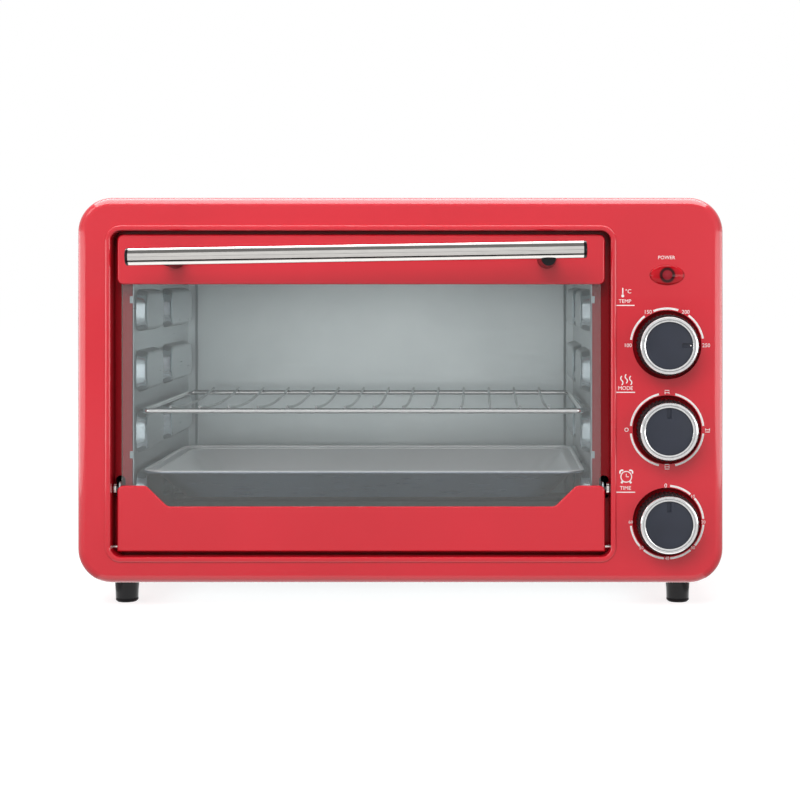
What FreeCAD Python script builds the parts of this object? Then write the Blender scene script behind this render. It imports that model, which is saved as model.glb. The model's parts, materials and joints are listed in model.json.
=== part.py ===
import FreeCAD, Part
import math
import os
import re
import Sketcher
from FreeCAD import Placement, Rotation, Vector

# Countertop electric oven with a drop-down glass door.
# Millimetres. +X is to the right seen from the front, +Y to the back, +Z up.
# The floor is z = 0 and the origin is below the middle of the whole object.
# The door, the front frame and the controls are measured back from the face
# plane, the flat front of the front frame.

os.makedirs("parts", exist_ok=True)
doc = FreeCAD.newDocument("countertop_oven")

# Driving sizes, each a cell of the sheet under its own alias
SIZES = {
    # whole body
    "side_band": 25.5,
    "control_width": 84.1,
    "top_band": 24.7,
    "rear_room": 54.0,
    "body_lift": 19.85,
    "corner_radius": 25.5,
    # front frame, a pressed sheet with a stepped door opening
    "frame_sheet": 1.0,
    "frame_return": 22.0,
    "face_round": 7.0,
    "opening_width": 373.0,
    "opening_height": 243.3,
    "opening_rise": 20.1,
    "opening_radius": 7.6,
    "opening_step": 18.0,
    "lip_width": 4.0,
    "lip_rise": 1.5,
    "lip_round": 1.4,
    # cavity
    "cavity_inset": 13.8,
    "cavity_drop": 12.4,
    "cavity_rise": 9.9,
    "cavity_depth": 249.0,
    "cavity_sheet": 0.8,
    "mouth_gap": 0.2,
    "mouth_radius": 1.0,
    "crease_inset": 6.0,
    "crease_rise": 2.5,
    # pressed pads of the side walls
    "pad_rise": 7.0,
    "pad_height": 32.5,
    "pad_base": 17.5,
    "pad_top": 31.5,
    "pad_rows": 4.0,
    "pad_ledge_slope": 2.0,
    "pad_end_slope": 6.0,
    "pad_radius": 12.0,
    "front_pad_start": 9.0,
    "front_pad_length": 84.0,
    "pad_gap": 24.0,
    "rear_pad_gap": 18.0,
    # tabs of the side walls, folded over the flange of the front frame
    "fold_height": 5.3,
    "fold_reach": 2.0,
    "fold_low_share": 0.28,
    "fold_high_share": 0.81,
    # casing, base and rear panel
    "casing_sheet": 0.8,
    "casing_gap": 0.3,
    "casing_tuck": 10.0,
    "casing_flange": 34.0,
    "louvre_length": 38.0,
    "louvre_height": 3.2,
    "louvre_pitch": 9.0,
    "louvre_count": 8.0,
    "louvre_rise": 60.0,
    "louvre_inset": 62.0,
    "louvre_drop": 2.6,
    "louvre_sheet": 0.6,
    "panel_sheet": 0.8,
    "panel_inset": 5.0,
    "panel_flange": 9.0,
    "vent_length": 30.0,
    "vent_height": 3.0,
    "vent_margin": 21.7,
    "vent_pitch_z": 9.0,
    "vent_columns": 6.0,
    "vent_rows": 4.0,
    "vent_drop": 40.0,
    "emboss_rise": 3.0,
    "emboss_margin": 26.0,
    "base_slot_length": 46.0,
    "base_slot_width": 3.5,
    "base_slot_pitch": 16.0,
    "base_slot_count": 9.0,
    # cord bush
    "bush_radius": 7.5,
    "bush_bore": 4.0,
    "bush_flange": 10.5,
    "bush_flange_depth": 3.0,
    "bush_inset": 63.3,
    "bush_rise": 40.0,
    # feet
    "foot_side_inset": 29.9,
    "foot_inset": 40.0,
    "foot_rear_inset": 42.0,
    "foot_top_radius": 9.4,
    "foot_sole_radius": 8.6,
    "foot_round": 1.2,
    "screw_radius": 2.0,
    "screw_head_radius": 3.6,
    "screw_head_depth": 1.8,
    # door
    "door_gap": 4.0,
    "door_gap_top": 2.8,
    "door_gap_base": 3.3,
    "door_recess": 4.0,
    "door_depth": 11.0,
    "door_sheet": 1.0,
    "door_corner": 4.6,
    "door_round": 1.6,
    "top_rail_height": 37.4,
    "base_rail_height": 33.8,
    "ear_rise": 15.6,
    "ear_width": 21.6,
    "ear_run": 16.0,
    "ear_round": 6.0,
    "glass_sheet": 3.2,
    "glass_margin": 3.3,
    "glass_gap": 0.3,
    "glass_tuck_top": 28.0,
    "glass_tuck_base": 26.0,
    "glass_corner": 4.0,
    "clamp_sheet": 1.2,
    "clamp_height": 20.0,
    # hinge and stay arms
    "hinge_rise": 6.3,
    "hinge_pin_radius": 1.4,
    "hinge_collar_radius": 1.8,
    "hinge_pin_reach": 3.0,
    "running_gap": 0.05,
    "bracket_sheet": 1.2,
    "bracket_foot": 5.0,
    "bracket_front": 3.05,
    "bracket_back": 5.0,
    "arm_pin_rise": 43.6,
    "arm_pin_back": 2.0,
    "arm_pin_radius": 1.6,
    "arm_pin_head_radius": 2.6,
    "arm_sheet": 1.8,
    "arm_side_gap": 0.9,
    "arm_height": 9.0,
    "arm_length": 88.0,
    "arm_notch": 2.4,
    "arm_notch_start": 11.0,
    "arm_hook_radius": 1.1,
    "slot_inset": 0.2,
    "slot_width": 7.4,
    "slot_top": 8.9,
    "slot_base": 8.4,
    # door springs
    "spring_radius": 3.6,
    "spring_length": 62.0,
    "spring_wire": 0.8,
    "hook_radius": 4.4,
    "anchor_sheet": 1.2,
    "anchor_height": 14.0,
    # handle
    "tube_radius": 6.35,
    "tube_wall": 1.0,
    "tube_left_inset": 15.9,
    "tube_right_inset": 18.1,
    "tube_drop": 14.4,
    "tube_tilt": 0.95,
    "tube_standing": 36.0,
    "cap_reach": 2.6,
    "cap_plug": 8.0,
    "standoff_radius": 7.4,
    "standoff_tip_radius": 5.4,
    "standoff_inset": 43.7,
    "standoff_drop": 18.2,
    "handle_screw_drop": 16.0,
    "handle_screw_radius": 2.0,
    "seat_gap": 0.3,
    # heaters
    "heater_radius": 4.0,
    "heater_drop": 10.0,
    "heater_inset": 72.0,
    "ceramic_radius": 8.0,
    "ceramic_length": 12.0,
    "terminal_radius": 1.6,
    "terminal_length": 9.0,
    # rack
    "rack_side_gap": 3.7,
    "rack_rear_gap": 30.0,
    "rack_rail_radius": 2.0,
    "rack_wire_radius": 1.0,
    "rack_corner": 5.0,
    "rack_wire_count": 14.0,
    "rack_wire_left": 21.0,
    "rack_wire_right": 26.0,
    "rack_wire_sag": 4.5,
    "rack_wire_overrun": 5.0,
    "rack_wire_spans": 6.0,
    "rack_row": 2.0,
    "tray_row": 1.0,
    "rack_clearance": 3.0,
    # baking tray
    "tray_side_gap": 3.7,
    "tray_rear_gap": 41.0,
    "tray_drop": 20.5,
    "tray_rim": 8.0,
    "tray_rim_radius": 1.4,
    "tray_sheet": 0.8,
    "tray_corner": 18.0,
    "tray_slope": 19.0,
    # controls
    "knob_inset": 42.3,
    "timer_height_share": 0.16,
    "selector_height_share": 0.399,
    "thermostat_height_share": 0.6187,
    "lamp_height_share": 0.7994,
    "dish_radius": 25.7,
    "dish_depth": 4.0,
    "knob_gap": 0.6,
    "skirt_radius": 22.9,
    "skirt_depth": 15.5,
    "skirt_bore": 7.0,
    "skirt_teeth": 44.0,
    "tooth_depth": 1.1,
    "ring_radius": 21.3,
    "ring_depth": 4.6,
    "ring_bevel": 1.7,
    "knob_cap_radius": 17.45,
    "knob_cap_dome": 0.9,
    "knob_cap_depth": 3.0,
    "thermostat_turn": 90.0,
    "selector_turn": 0.0,
    "timer_turn": 0.0,
    "pointer_width": 3.2,
    "pointer_length": 8.0,
    "pointer_depth": 0.9,
    "spindle_radius": 3.0,
    "spindle_flat": 1.5,
    "thermostat_radius": 15.0,
    "thermostat_depth": 20.0,
    "selector_width": 34.0,
    "selector_height": 28.0,
    "selector_depth": 26.0,
    "timer_radius": 25.0,
    "timer_depth": 30.0,
    "control_flange": 2.0,
    "tab_sheet": 0.8,
    "tab_width": 6.3,
    "tab_length": 9.0,
    "lens_width": 26.0,
    "lens_height": 15.0,
    "lens_dome": 3.2,
    "lens_stem_radius": 5.0,
    "lens_stem_length": 9.0,
    "neon_radius": 6.4,
    "neon_length": 14.0,
    "shield_gap": 24.6,
    "shield_flange": 5.0,
    "shield_sheet": 0.6,
    # one overrun for every cut
    "cut_over": 2.0,
}

# Places and sizes that follow from the driving sizes
PLACES = {
    "body_width": "side_band + opening_width + control_width",
    "body_height": "opening_rise + opening_height + top_band",
    "body_depth": "opening_step + frame_sheet + cavity_depth + rear_room",
    "opening_shift": "(side_band - control_width) / 2",
    "face_y": "(tube_standing + tube_radius - door_recess - body_depth) / 2",
    "body_top": "body_lift + body_height",
    "cavity_width": "opening_width - 2 * cavity_inset",
    "cavity_height": "opening_height - cavity_rise - cavity_drop",
    "pad_pitch": "(cavity_height - pad_base - pad_height - pad_top) / (pad_rows - 1)",
    "rear_pad_start": "front_pad_start + front_pad_length + pad_gap",
    "rear_pad_length": "cavity_depth - rear_pad_start - rear_pad_gap",
    "vent_field": "cavity_width - 2 * emboss_margin - 2 * vent_margin",
    "vent_pitch_x": "(vent_field - vent_length) / (vent_columns - 1)",
    "foot_x": "body_width / 2 - foot_side_inset",
    "rack_width": "cavity_width - 2 * rack_side_gap",
    "rack_depth": "cavity_depth - rack_clearance - rack_rear_gap",
    "tray_width": "cavity_width - 2 * tray_side_gap",
    "tray_depth": "cavity_depth - rack_clearance - tray_rear_gap",
    "knob_shift": "body_width / 2 - knob_inset",
    "timer_rise": "body_height * timer_height_share",
    "selector_rise": "body_height * selector_height_share",
    "thermostat_rise": "body_height * thermostat_height_share",
    "lamp_rise": "body_height * lamp_height_share",
    "opening_left": "opening_shift - opening_width / 2",
    "opening_right": "opening_shift + opening_width / 2",
    "opening_low": "body_lift + opening_rise",
    "opening_high": "opening_low + opening_height",
    "cavity_left": "opening_shift - cavity_width / 2",
    "cavity_right": "opening_shift + cavity_width / 2",
    "cavity_low": "opening_low + cavity_rise",
    "cavity_high": "cavity_low + cavity_height",
    "cavity_y": "face_y + opening_step + frame_sheet",
    "cavity_rear_y": "cavity_y + cavity_depth",
    "pad_slope_share": "pad_ledge_slope / pad_rise",
    "casing_half": "body_width / 2 - frame_sheet - casing_gap",
    "casing_low": "body_lift + frame_sheet + casing_gap",
    "casing_high": "body_top - frame_sheet - casing_gap",
    "casing_radius": "corner_radius - frame_sheet - casing_gap",
    "panel_y": "face_y + body_depth - panel_inset - panel_sheet",
    "panel_half": "casing_half - casing_sheet - casing_gap",
    "panel_low": "casing_low + casing_sheet + casing_gap",
    "panel_high": "casing_high - casing_sheet - casing_gap",
    "panel_radius": "casing_radius - casing_sheet - casing_gap",
    "door_left": "opening_left + door_gap",
    "door_right": "opening_right - door_gap",
    "door_low": "opening_low + door_gap_base",
    "door_high": "opening_high - door_gap_top",
    "base_rail_high": "door_low + base_rail_height",
    "ear_high": "base_rail_high + ear_rise",
    "top_rail_low": "door_high - top_rail_height",
    "glass_y": "face_y + door_recess + door_sheet + glass_gap",
    "glass_low": "base_rail_high - glass_tuck_base",
    "glass_high": "top_rail_low + glass_tuck_top",
    "hinge_y": "face_y + door_recess + door_depth / 2",
    "hinge_z": "opening_low + hinge_rise",
    "arm_y": "hinge_y + arm_pin_back",
    "arm_z": "hinge_z + arm_pin_rise",
    "tube_length": "door_right - door_left - tube_left_inset - tube_right_inset",
    "tube_x": "opening_shift + (tube_left_inset - tube_right_inset) / 2",
    "tube_y": "face_y + door_recess - tube_standing",
    "rack_y": "cavity_y + rack_clearance",
    "first_ledge": "cavity_low + pad_base + pad_height",
    "rack_rail_drop": "pad_slope_share * (rack_side_gap + rack_rail_radius)",
    "rack_rail_lift": "(rack_rail_radius + seat_gap) * sqrt(1 + pad_slope_share * pad_slope_share)",
    "rack_z": "first_ledge + pad_pitch * (rack_row - 1) - rack_rail_drop + rack_rail_lift",
    "tray_z": "first_ledge + pad_pitch * (tray_row - 1) - pad_slope_share * tray_side_gap + seat_gap",
    "standoff_z": "door_high - standoff_drop",
    "handle_screw_z": "door_high - handle_screw_drop",
    "standoff_left": "door_left + standoff_inset",
    "standoff_right": "door_right - standoff_inset",
    "shield_x": "cavity_right + shield_gap",
    "base_plate_end": "body_depth - panel_inset - panel_sheet - panel_flange - casing_gap",
    "knob_y": "face_y + dish_depth - knob_gap",
}


def bound(text):
    """Write each alias in a formula as the cell that holds it."""
    def cell(match):
        word = match.group()
        if word in SIZES:
            return "sizes." + word
        return "places." + word if word in PLACES else word
    return re.sub(r"[a-z][a-z_]*", cell, str(text))


def fill_sheet(label, rows):
    sheet = doc.addObject("Spreadsheet::Sheet", label)
    for number, (alias, value) in enumerate(rows.items(), start=1):
        sheet.set("A%d" % number, alias)
        sheet.set("B%d" % number, str(value))
        sheet.setAlias("B%d" % number, alias)
    doc.recompute()
    return sheet


def place_formula(text):
    """A formula in the second sheet: sizes come from the first, places from its own cells."""
    def cell(match):
        word = match.group()
        return "sizes." + word if word in SIZES else word
    return "=" + re.sub(r"[a-z][a-z_]*", cell, text)


sizes = fill_sheet("sizes", SIZES)
places = fill_sheet("places", {alias: place_formula(text) for alias, text in PLACES.items()})


def amount(text):
    """The present value of a formula."""
    return float(sizes.evalExpression(bound(text)))


def put(piece, at, turn=None):
    """Place a piece at three formulas, turned by (axis, angle) or (axis, formula)."""
    if turn:
        piece.Placement = Placement(Vector(), Rotation(turn[0], amount(turn[1])))
        piece.setExpression(".Placement.Rotation.Angle", bound(turn[1]))
    for axis, text in zip("xyz", at):
        piece.setExpression(".Placement.Base." + axis, bound(text))
    return piece


# Two points nearer than this are the same point
TOUCH = 0.001
X_AXIS = Vector(1, 0, 0)
Y_AXIS = Vector(0, 1, 0)
Z_AXIS = Vector(0, 0, 1)
made = []


def sub_part(piece, label):
    """Keep a finished piece under the name of its file."""
    piece.Label = label
    made.append(piece)
    return piece


def new_body(label, at=(0, 0, 0), turn=None):
    body = doc.addObject("PartDesign::Body", label)
    put(body, at, turn)
    return sub_part(body, label)


def origin_item(body, role):
    return next(item for item in body.Origin.OriginFeatures if item.Role == role)


def datum(flat, kind, where, text):
    index = flat.addConstraint(Sketcher.Constraint(kind, *where, amount(text)))
    flat.setExpression("Constraints[%d]" % index, bound(text))


def draw_circle(flat, x, y, radius):
    ring = flat.addGeometry(Part.Circle(Vector(amount(x), amount(y), 0), Z_AXIS, amount(radius)))
    datum(flat, "DistanceX", (-1, 1, ring, 3), x)
    datum(flat, "DistanceY", (-1, 1, ring, 3), y)
    datum(flat, "Radius", (ring,), radius)


def draw_polygon(flat, points):
    spots = [Vector(amount(x), amount(y), 0) for x, y in points]
    lines = [flat.addGeometry(Part.LineSegment(a, b)) for a, b in zip(spots, spots[1:] + spots[:1])]
    for line, follower in zip(lines, lines[1:] + lines[:1]):
        flat.addConstraint(Sketcher.Constraint("Coincident", line, 2, follower, 1))
    for line, (x, y) in zip(lines, points):
        datum(flat, "DistanceX", (-1, 1, line, 1), x)
        datum(flat, "DistanceY", (-1, 1, line, 1), y)


def draw_rounded(flat, left, low, right, high, radius):
    """A rectangle between four formulas with rounded corners."""
    x0, y0, x1, y1, r = (amount(text) for text in (left, low, right, high, radius))
    runs = (((x0 + r, y0), (x1 - r, y0)), ((x1, y0 + r), (x1, y1 - r)),
            ((x1 - r, y1), (x0 + r, y1)), ((x0, y1 - r), (x0, y0 + r)))
    centres = ((x1 - r, y0 + r), (x1 - r, y1 - r), (x0 + r, y1 - r), (x0 + r, y0 + r))
    lines = []
    arcs = []
    for quarter, ((start, end), centre) in enumerate(zip(runs, centres)):
        lines.append(flat.addGeometry(Part.LineSegment(Vector(*start, 0), Vector(*end, 0))))
        circle = Part.Circle(Vector(*centre, 0), Z_AXIS, r)
        first = math.radians(90 * (quarter - 1))
        arcs.append(flat.addGeometry(Part.ArcOfCircle(circle, first, first + math.radians(90))))
    for quarter in range(4):
        flat.addConstraint(Sketcher.Constraint("Tangent", lines[quarter], 2, arcs[quarter], 1))
        flat.addConstraint(Sketcher.Constraint("Tangent", arcs[quarter], 2, lines[(quarter + 1) % 4], 1))
        flat.addConstraint(Sketcher.Constraint("Vertical" if quarter % 2 else "Horizontal", lines[quarter]))
    for arc in arcs[1:]:
        flat.addConstraint(Sketcher.Constraint("Equal", arcs[0], arc))
    datum(flat, "Radius", (arcs[0],), radius)
    datum(flat, "DistanceY", (-1, 1, lines[0], 1), low)
    datum(flat, "DistanceX", (-1, 1, lines[1], 1), right)
    datum(flat, "DistanceY", (-1, 1, lines[2], 1), high)
    datum(flat, "DistanceX", (-1, 1, lines[3], 1), left)


DRAW = {"circle": draw_circle, "polygon": draw_polygon, "rounded": draw_rounded}


def sketch(body, plane, loops, start=0):
    """Closed loops on one of the body's own origin planes, moved by start along its positive axis."""
    flat = body.newObject("Sketcher::SketchObject", body.Name + "_sketch")
    flat.AttachmentSupport = [(origin_item(body, plane + "_Plane"), "")]
    flat.MapMode = "FlatFace"
    away = "-(%s)" if plane == "XZ" else "(%s)"
    flat.setExpression(".AttachmentOffset.Base.z", bound(away % start))
    for kind, *values in loops:
        DRAW[kind](flat, *values)
    return flat


def tip_volume(body):
    doc.recompute()
    return body.Tip.Shape.Volume if body.Tip else 0


def pad(body, plane, loops, length, start=0):
    """Add material towards the positive axis that is square to the plane."""
    feature = body.newObject("PartDesign::Pad", body.Name + "_pad")
    feature.Profile = (sketch(body, plane, loops, start), [""])
    feature.setExpression("Length", bound(length))
    feature.Reversed = plane == "XZ"
    doc.recompute()
    return feature


def pocket(body, plane, loops, length, start=0):
    """Take material away towards the positive axis, and make sure that some goes."""
    before = tip_volume(body)
    feature = body.newObject("PartDesign::Pocket", body.Name + "_pocket")
    feature.Profile = (sketch(body, plane, loops, start), [""])
    feature.setExpression("Length", bound(length))
    feature.Reversed = plane != "XZ"
    if not tip_volume(body) < before:
        raise RuntimeError("a pocket of %s cuts nothing" % body.Label)
    return feature


def turned(body, plane, points, cut=False):
    """Turn an outline about the sketch's upright axis."""
    before = tip_volume(body)
    kind = "PartDesign::Groove" if cut else "PartDesign::Revolution"
    feature = body.newObject(kind, body.Name + "_turned")
    profile = sketch(body, plane, [("polygon", points)])
    feature.Profile = (profile, [""])
    feature.ReferenceAxis = (profile, ["V_Axis"])
    feature.Angle = 360
    after = tip_volume(body)
    if cut and not after < before:
        raise RuntimeError("a groove of %s cuts nothing" % body.Label)
    return feature


def soften(body, base, radius, test):
    """Round the edges of the last feature that pass a test."""
    names = ["Edge%d" % number for number, edge in enumerate(base.Shape.Edges, start=1) if test(edge)]
    feature = body.newObject("PartDesign::Fillet", body.Name + "_round")
    feature.Base = (base, names)
    feature.setExpression("Radius", bound(radius))
    doc.recompute()
    return feature


def shelled(body, base, sheet, height):
    """Hollow the last feature from its flat back at one height along Y."""
    names = ["Face%d" % number for number, face in enumerate(base.Shape.Faces, start=1)
             if abs(face.CenterOfMass.y - height) < TOUCH and face.BoundBox.YLength < TOUCH]
    feature = body.newObject("PartDesign::Thickness", body.Name + "_shell")
    feature.Base = (base, names)
    feature.setExpression("Value", bound(sheet))
    feature.Reversed = True
    doc.recompute()
    return feature


def row(body, originals, role, pitch, count):
    """Repeat features along one of the body's axes."""
    feature = body.newObject("PartDesign::LinearPattern", body.Name + "_row")
    feature.Originals = originals
    feature.Direction = (origin_item(body, role), [""])
    feature.setExpression("Length", bound("(%s) * (%s - 1)" % (pitch, count)))
    feature.setExpression("Occurrences", bound(count))
    body.Tip = feature
    doc.recompute()
    return feature


def round_row(body, originals, role, count):
    """Repeat features round one of the body's axes."""
    feature = body.newObject("PartDesign::PolarPattern", body.Name + "_ring")
    feature.Originals = originals
    feature.Axis = (origin_item(body, role), [""])
    feature.Angle = 360
    feature.setExpression("Occurrences", bound(count))
    body.Tip = feature
    doc.recompute()
    return feature


def block(label, size, at):
    """A box by its three sizes and its low corner."""
    piece = doc.addObject("Part::Box", label)
    for side, text in zip(("Length", "Width", "Height"), size):
        piece.setExpression(side, bound(text))
    return put(piece, at)


def rod(label, radius, length, at, along="Z"):
    """A cylinder from a point towards the positive X, Y or Z axis."""
    piece = doc.addObject("Part::Cylinder", label)
    piece.setExpression("Radius", bound(radius))
    piece.setExpression("Height", bound(length))
    turn = {"X": (Y_AXIS, "90"), "Y": (-X_AXIS, "90"), "Z": None}[along]
    return put(piece, at, turn)


def joined(label, pieces):
    piece = doc.addObject("Part::MultiFuse", label)
    piece.Shapes = pieces
    return piece


def less(label, base, tools):
    piece = doc.addObject("Part::Cut", label)
    piece.Base = base
    piece.Tool = tools[0] if len(tools) == 1 else joined(label + "_tools", tools)
    return piece


def group(label, pieces):
    """Several alike solids in one node."""
    piece = doc.addObject("Part::Compound", label)
    piece.Links = pieces
    return sub_part(piece, label)


def shape_part(label, shape):
    """A piece that no sketch or primitive suits."""
    piece = doc.addObject("Part::Feature", label)
    piece.Shape = shape
    return sub_part(piece, label)


def mirrored_x(side, inset, width):
    """The low X of something that lies inset from the left or right side of the door opening."""
    if side == "left":
        return "opening_left + (%s)" % inset
    return "opening_right - (%s) - (%s)" % (inset, width)


SIDES = ("left", "right")


# Front frame: a pressed pan with the door opening, its step and lip, and the three dishes

def front_frame():
    body = new_body("front_frame", (0, "face_y", 0))
    outline = ("rounded", "-body_width / 2", "body_lift", "body_width / 2", "body_top", "corner_radius")
    blank = pad(body, "XZ", [outline], "frame_return")
    smooth = soften(body, blank, "face_round", lambda edge: edge.BoundBox.YMax < TOUCH)
    shelled(body, smooth, "frame_sheet", amount("frame_return"))
    opening = ("rounded", "opening_left", "opening_low", "opening_right", "opening_high", "opening_radius")
    around = ("rounded", "opening_left - frame_sheet", "opening_low - frame_sheet",
              "opening_right + frame_sheet", "opening_high + frame_sheet", "opening_radius + frame_sheet")
    mouth = ("rounded", "cavity_left - cavity_sheet - mouth_gap", "cavity_low - cavity_sheet - mouth_gap",
             "cavity_right + cavity_sheet + mouth_gap", "cavity_high + cavity_sheet + mouth_gap",
             "mouth_radius")
    lip = ("rounded", "opening_left - lip_width", "opening_low - lip_width",
           "opening_right + lip_width", "opening_high + lip_width", "opening_radius + lip_width")
    pocket(body, "XZ", [around], "frame_sheet + 2 * cut_over", "-cut_over")
    ridge = pad(body, "XZ", [lip, opening], "lip_rise + frame_sheet", "-lip_rise")
    soften(body, ridge, "lip_round",
           lambda edge: abs(edge.BoundBox.YMax + amount("lip_rise")) < TOUCH)
    pad(body, "XZ", [around, opening], "opening_step + frame_sheet")
    pad(body, "XZ", [opening, mouth], "frame_sheet", "opening_step")
    # oval slots for the stay arms, beside the glass
    for side in SIDES:
        low_x = mirrored_x(side, "slot_inset", "slot_width")
        slot = ("rounded", low_x, "arm_z - slot_base", "(%s) + slot_width" % low_x, "arm_z + slot_top",
                "slot_width * 0.48")
        pocket(body, "XZ", [slot], "frame_sheet + 2 * cut_over", "opening_step - cut_over")
        hole = ("circle", "hinge_y - face_y", "hinge_z", "hinge_pin_radius + running_gap")
        pocket(body, "YZ", [hole], "frame_sheet + 2 * cut_over",
               mirrored_x(side, "-frame_sheet - cut_over", "frame_sheet + 2 * cut_over"))
    # round dishes behind the knobs, each with a hole for the spindle
    for rise in ("thermostat_rise", "selector_rise", "timer_rise"):
        centre = ("knob_shift", "body_lift + " + rise)
        pocket(body, "XZ", [("circle", *centre, "dish_radius")], "frame_sheet + 2 * cut_over", "-cut_over")
        wall = [("circle", *centre, "dish_radius + frame_sheet"), ("circle", *centre, "dish_radius")]
        pad(body, "XZ", wall, "dish_depth + frame_sheet")
        pad(body, "XZ", [("circle", *centre, "dish_radius + frame_sheet / 2"),
                         ("circle", *centre, "spindle_radius + knob_gap")], "frame_sheet", "dish_depth")
    stem_hole = ("circle", "knob_shift", "body_lift + lamp_rise", "lens_stem_radius + seat_gap")
    pocket(body, "XZ", [stem_hole], "frame_sheet + 2 * cut_over", "-cut_over")


# Casing: one sheet wrapped round the sides and top, turned in below, with pressed louvres

def outer_casing():
    body = new_body("outer_casing", (0, "face_y", 0))
    outer = ("rounded", "-casing_half", "casing_low", "casing_half", "casing_high", "casing_radius")
    inner = ("rounded", "casing_sheet - casing_half", "casing_low + casing_sheet",
             "casing_half - casing_sheet", "casing_high - casing_sheet", "casing_radius - casing_sheet")
    pad(body, "XZ", [outer, inner], "body_depth - casing_tuck", "casing_tuck")
    half_gap = "casing_half - casing_radius - casing_flange"
    slit = [("-(%s)" % half_gap, "casing_low - cut_over"), (half_gap, "casing_low - cut_over"),
            (half_gap, "casing_low + casing_sheet + cut_over"),
            ("-(%s)" % half_gap, "casing_low + casing_sheet + cut_over")]
    pocket(body, "XZ", [("polygon", slit)], "body_depth", "casing_tuck - cut_over")
    holes = [("circle", "%d * foot_x" % sign, y, "screw_radius + running_gap")
             for sign in (-1, 1) for y in ("foot_inset", "body_depth - foot_rear_inset")]
    pocket(body, "XY", holes, "casing_sheet + 2 * cut_over", "casing_low - cut_over")
    first = "body_lift + louvre_rise"
    start = "body_depth - louvre_inset - louvre_length"
    for side in (-1, 1):
        window = ("rounded", start, first, "(%s) + louvre_length" % start, "%s + louvre_height" % first,
                  "louvre_height * 0.45")
        low_x = "casing_half - casing_sheet - cut_over" if side > 0 else "-casing_half - cut_over"
        cut = pocket(body, "YZ", [window], "casing_sheet + 2 * cut_over", low_x)
        row(body, [cut], "Z_Axis", "louvre_pitch", "louvre_count")
        face = "%d * (casing_half - casing_sheet)" % side
        deep = "%d * (casing_half - casing_sheet - louvre_drop)" % side
        top = "%s + louvre_height" % first
        blade = [(face, top), (face, "%s + louvre_sheet" % top),
                 (deep, "%s - louvre_drop + louvre_sheet" % top), (deep, "%s - louvre_drop" % top)]
        fin = pad(body, "XZ", [("polygon", blade if side > 0 else blade[::-1])], "louvre_length", start)
        row(body, [fin], "Z_Axis", "louvre_pitch", "louvre_count")


# Base plate between the casing's turned-in edges

def base_plate():
    body = new_body("base_plate", (0, "face_y", "casing_low + casing_sheet"))
    half = "casing_half - casing_radius"
    plate = [("-(%s)" % half, "frame_return + casing_gap"), (half, "frame_return + casing_gap"),
             (half, "base_plate_end"), ("-(%s)" % half, "base_plate_end")]
    pad(body, "XY", [("polygon", plate)], "panel_sheet")
    start = "opening_shift - base_slot_length / 2"
    low = "body_depth / 2 - base_slot_pitch * (base_slot_count - 1) / 2"
    slot = ("rounded", start, low, "(%s) + base_slot_length" % start, "%s + base_slot_width" % low,
            "base_slot_width * 0.45")
    cut = pocket(body, "XY", [slot], "panel_sheet + 2 * cut_over", "-cut_over")
    row(body, [cut], "Y_Axis", "base_slot_pitch", "base_slot_count")


# Rear panel: a flanged sheet with a raised field, vents and the hole for the cord bush

def rear_panel():
    body = new_body("rear_panel", (0, "panel_y", 0))
    outline = ("rounded", "-panel_half", "panel_low", "panel_half", "panel_high", "panel_radius")
    inner = ("rounded", "panel_sheet - panel_half", "panel_low + panel_sheet", "panel_half - panel_sheet",
             "panel_high - panel_sheet", "panel_radius - panel_sheet")
    pad(body, "XZ", [outline], "panel_sheet")
    pad(body, "XZ", [outline, inner], "panel_flange + panel_sheet", "-panel_flange")
    field = ("rounded", "cavity_left + emboss_margin", "cavity_low + emboss_margin",
             "cavity_right - emboss_margin", "cavity_high - emboss_margin", "corner_radius")
    rise = pad(body, "XZ", [field], "emboss_rise", "panel_sheet")
    soften(body, rise, "emboss_rise * 0.6",
           lambda edge: edge.BoundBox.YMin > amount("panel_sheet + emboss_rise") - TOUCH)
    hollow = ("rounded", "cavity_left + emboss_margin + emboss_rise",
              "cavity_low + emboss_margin + emboss_rise",
              "cavity_right - emboss_margin - emboss_rise", "cavity_high - emboss_margin - emboss_rise",
              "corner_radius - emboss_rise")
    pocket(body, "XZ", [hollow], "emboss_rise + cut_over", "-cut_over")
    left = "opening_shift - vent_field / 2"
    for step in range(int(amount("vent_rows"))):
        low = "cavity_high - emboss_margin - vent_drop - %d * vent_pitch_z" % step
        vent = ("rounded", left, low, "(%s) + vent_length" % left, "%s + vent_height" % low,
                "vent_height * 0.45")
        cut = pocket(body, "XZ", [vent], "panel_sheet + emboss_rise + 2 * cut_over", "-cut_over")
        row(body, [cut], "X_Axis", "vent_pitch_x", "vent_columns")
    pocket(body, "XZ", [("circle", "body_width / 2 - bush_inset", "body_lift + bush_rise", "bush_radius")],
           "panel_sheet + 2 * cut_over", "-cut_over")


def cord_bush():
    body = new_body("cord_bush", ("body_width / 2 - bush_inset", "panel_y", "body_lift + bush_rise"))
    turned(body, "XY", [("bush_bore", "-bush_flange_depth"), ("bush_flange", "-bush_flange_depth"),
                        ("bush_flange", 0), ("bush_radius - seat_gap", 0),
                        ("bush_radius - seat_gap", "panel_sheet"), ("bush_flange", "panel_sheet"),
                        ("bush_radius", "panel_sheet + bush_flange_depth"),
                        ("bush_bore", "panel_sheet + bush_flange_depth")])


# Cavity: side walls with pressed pads that carry the rack and the tray

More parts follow.
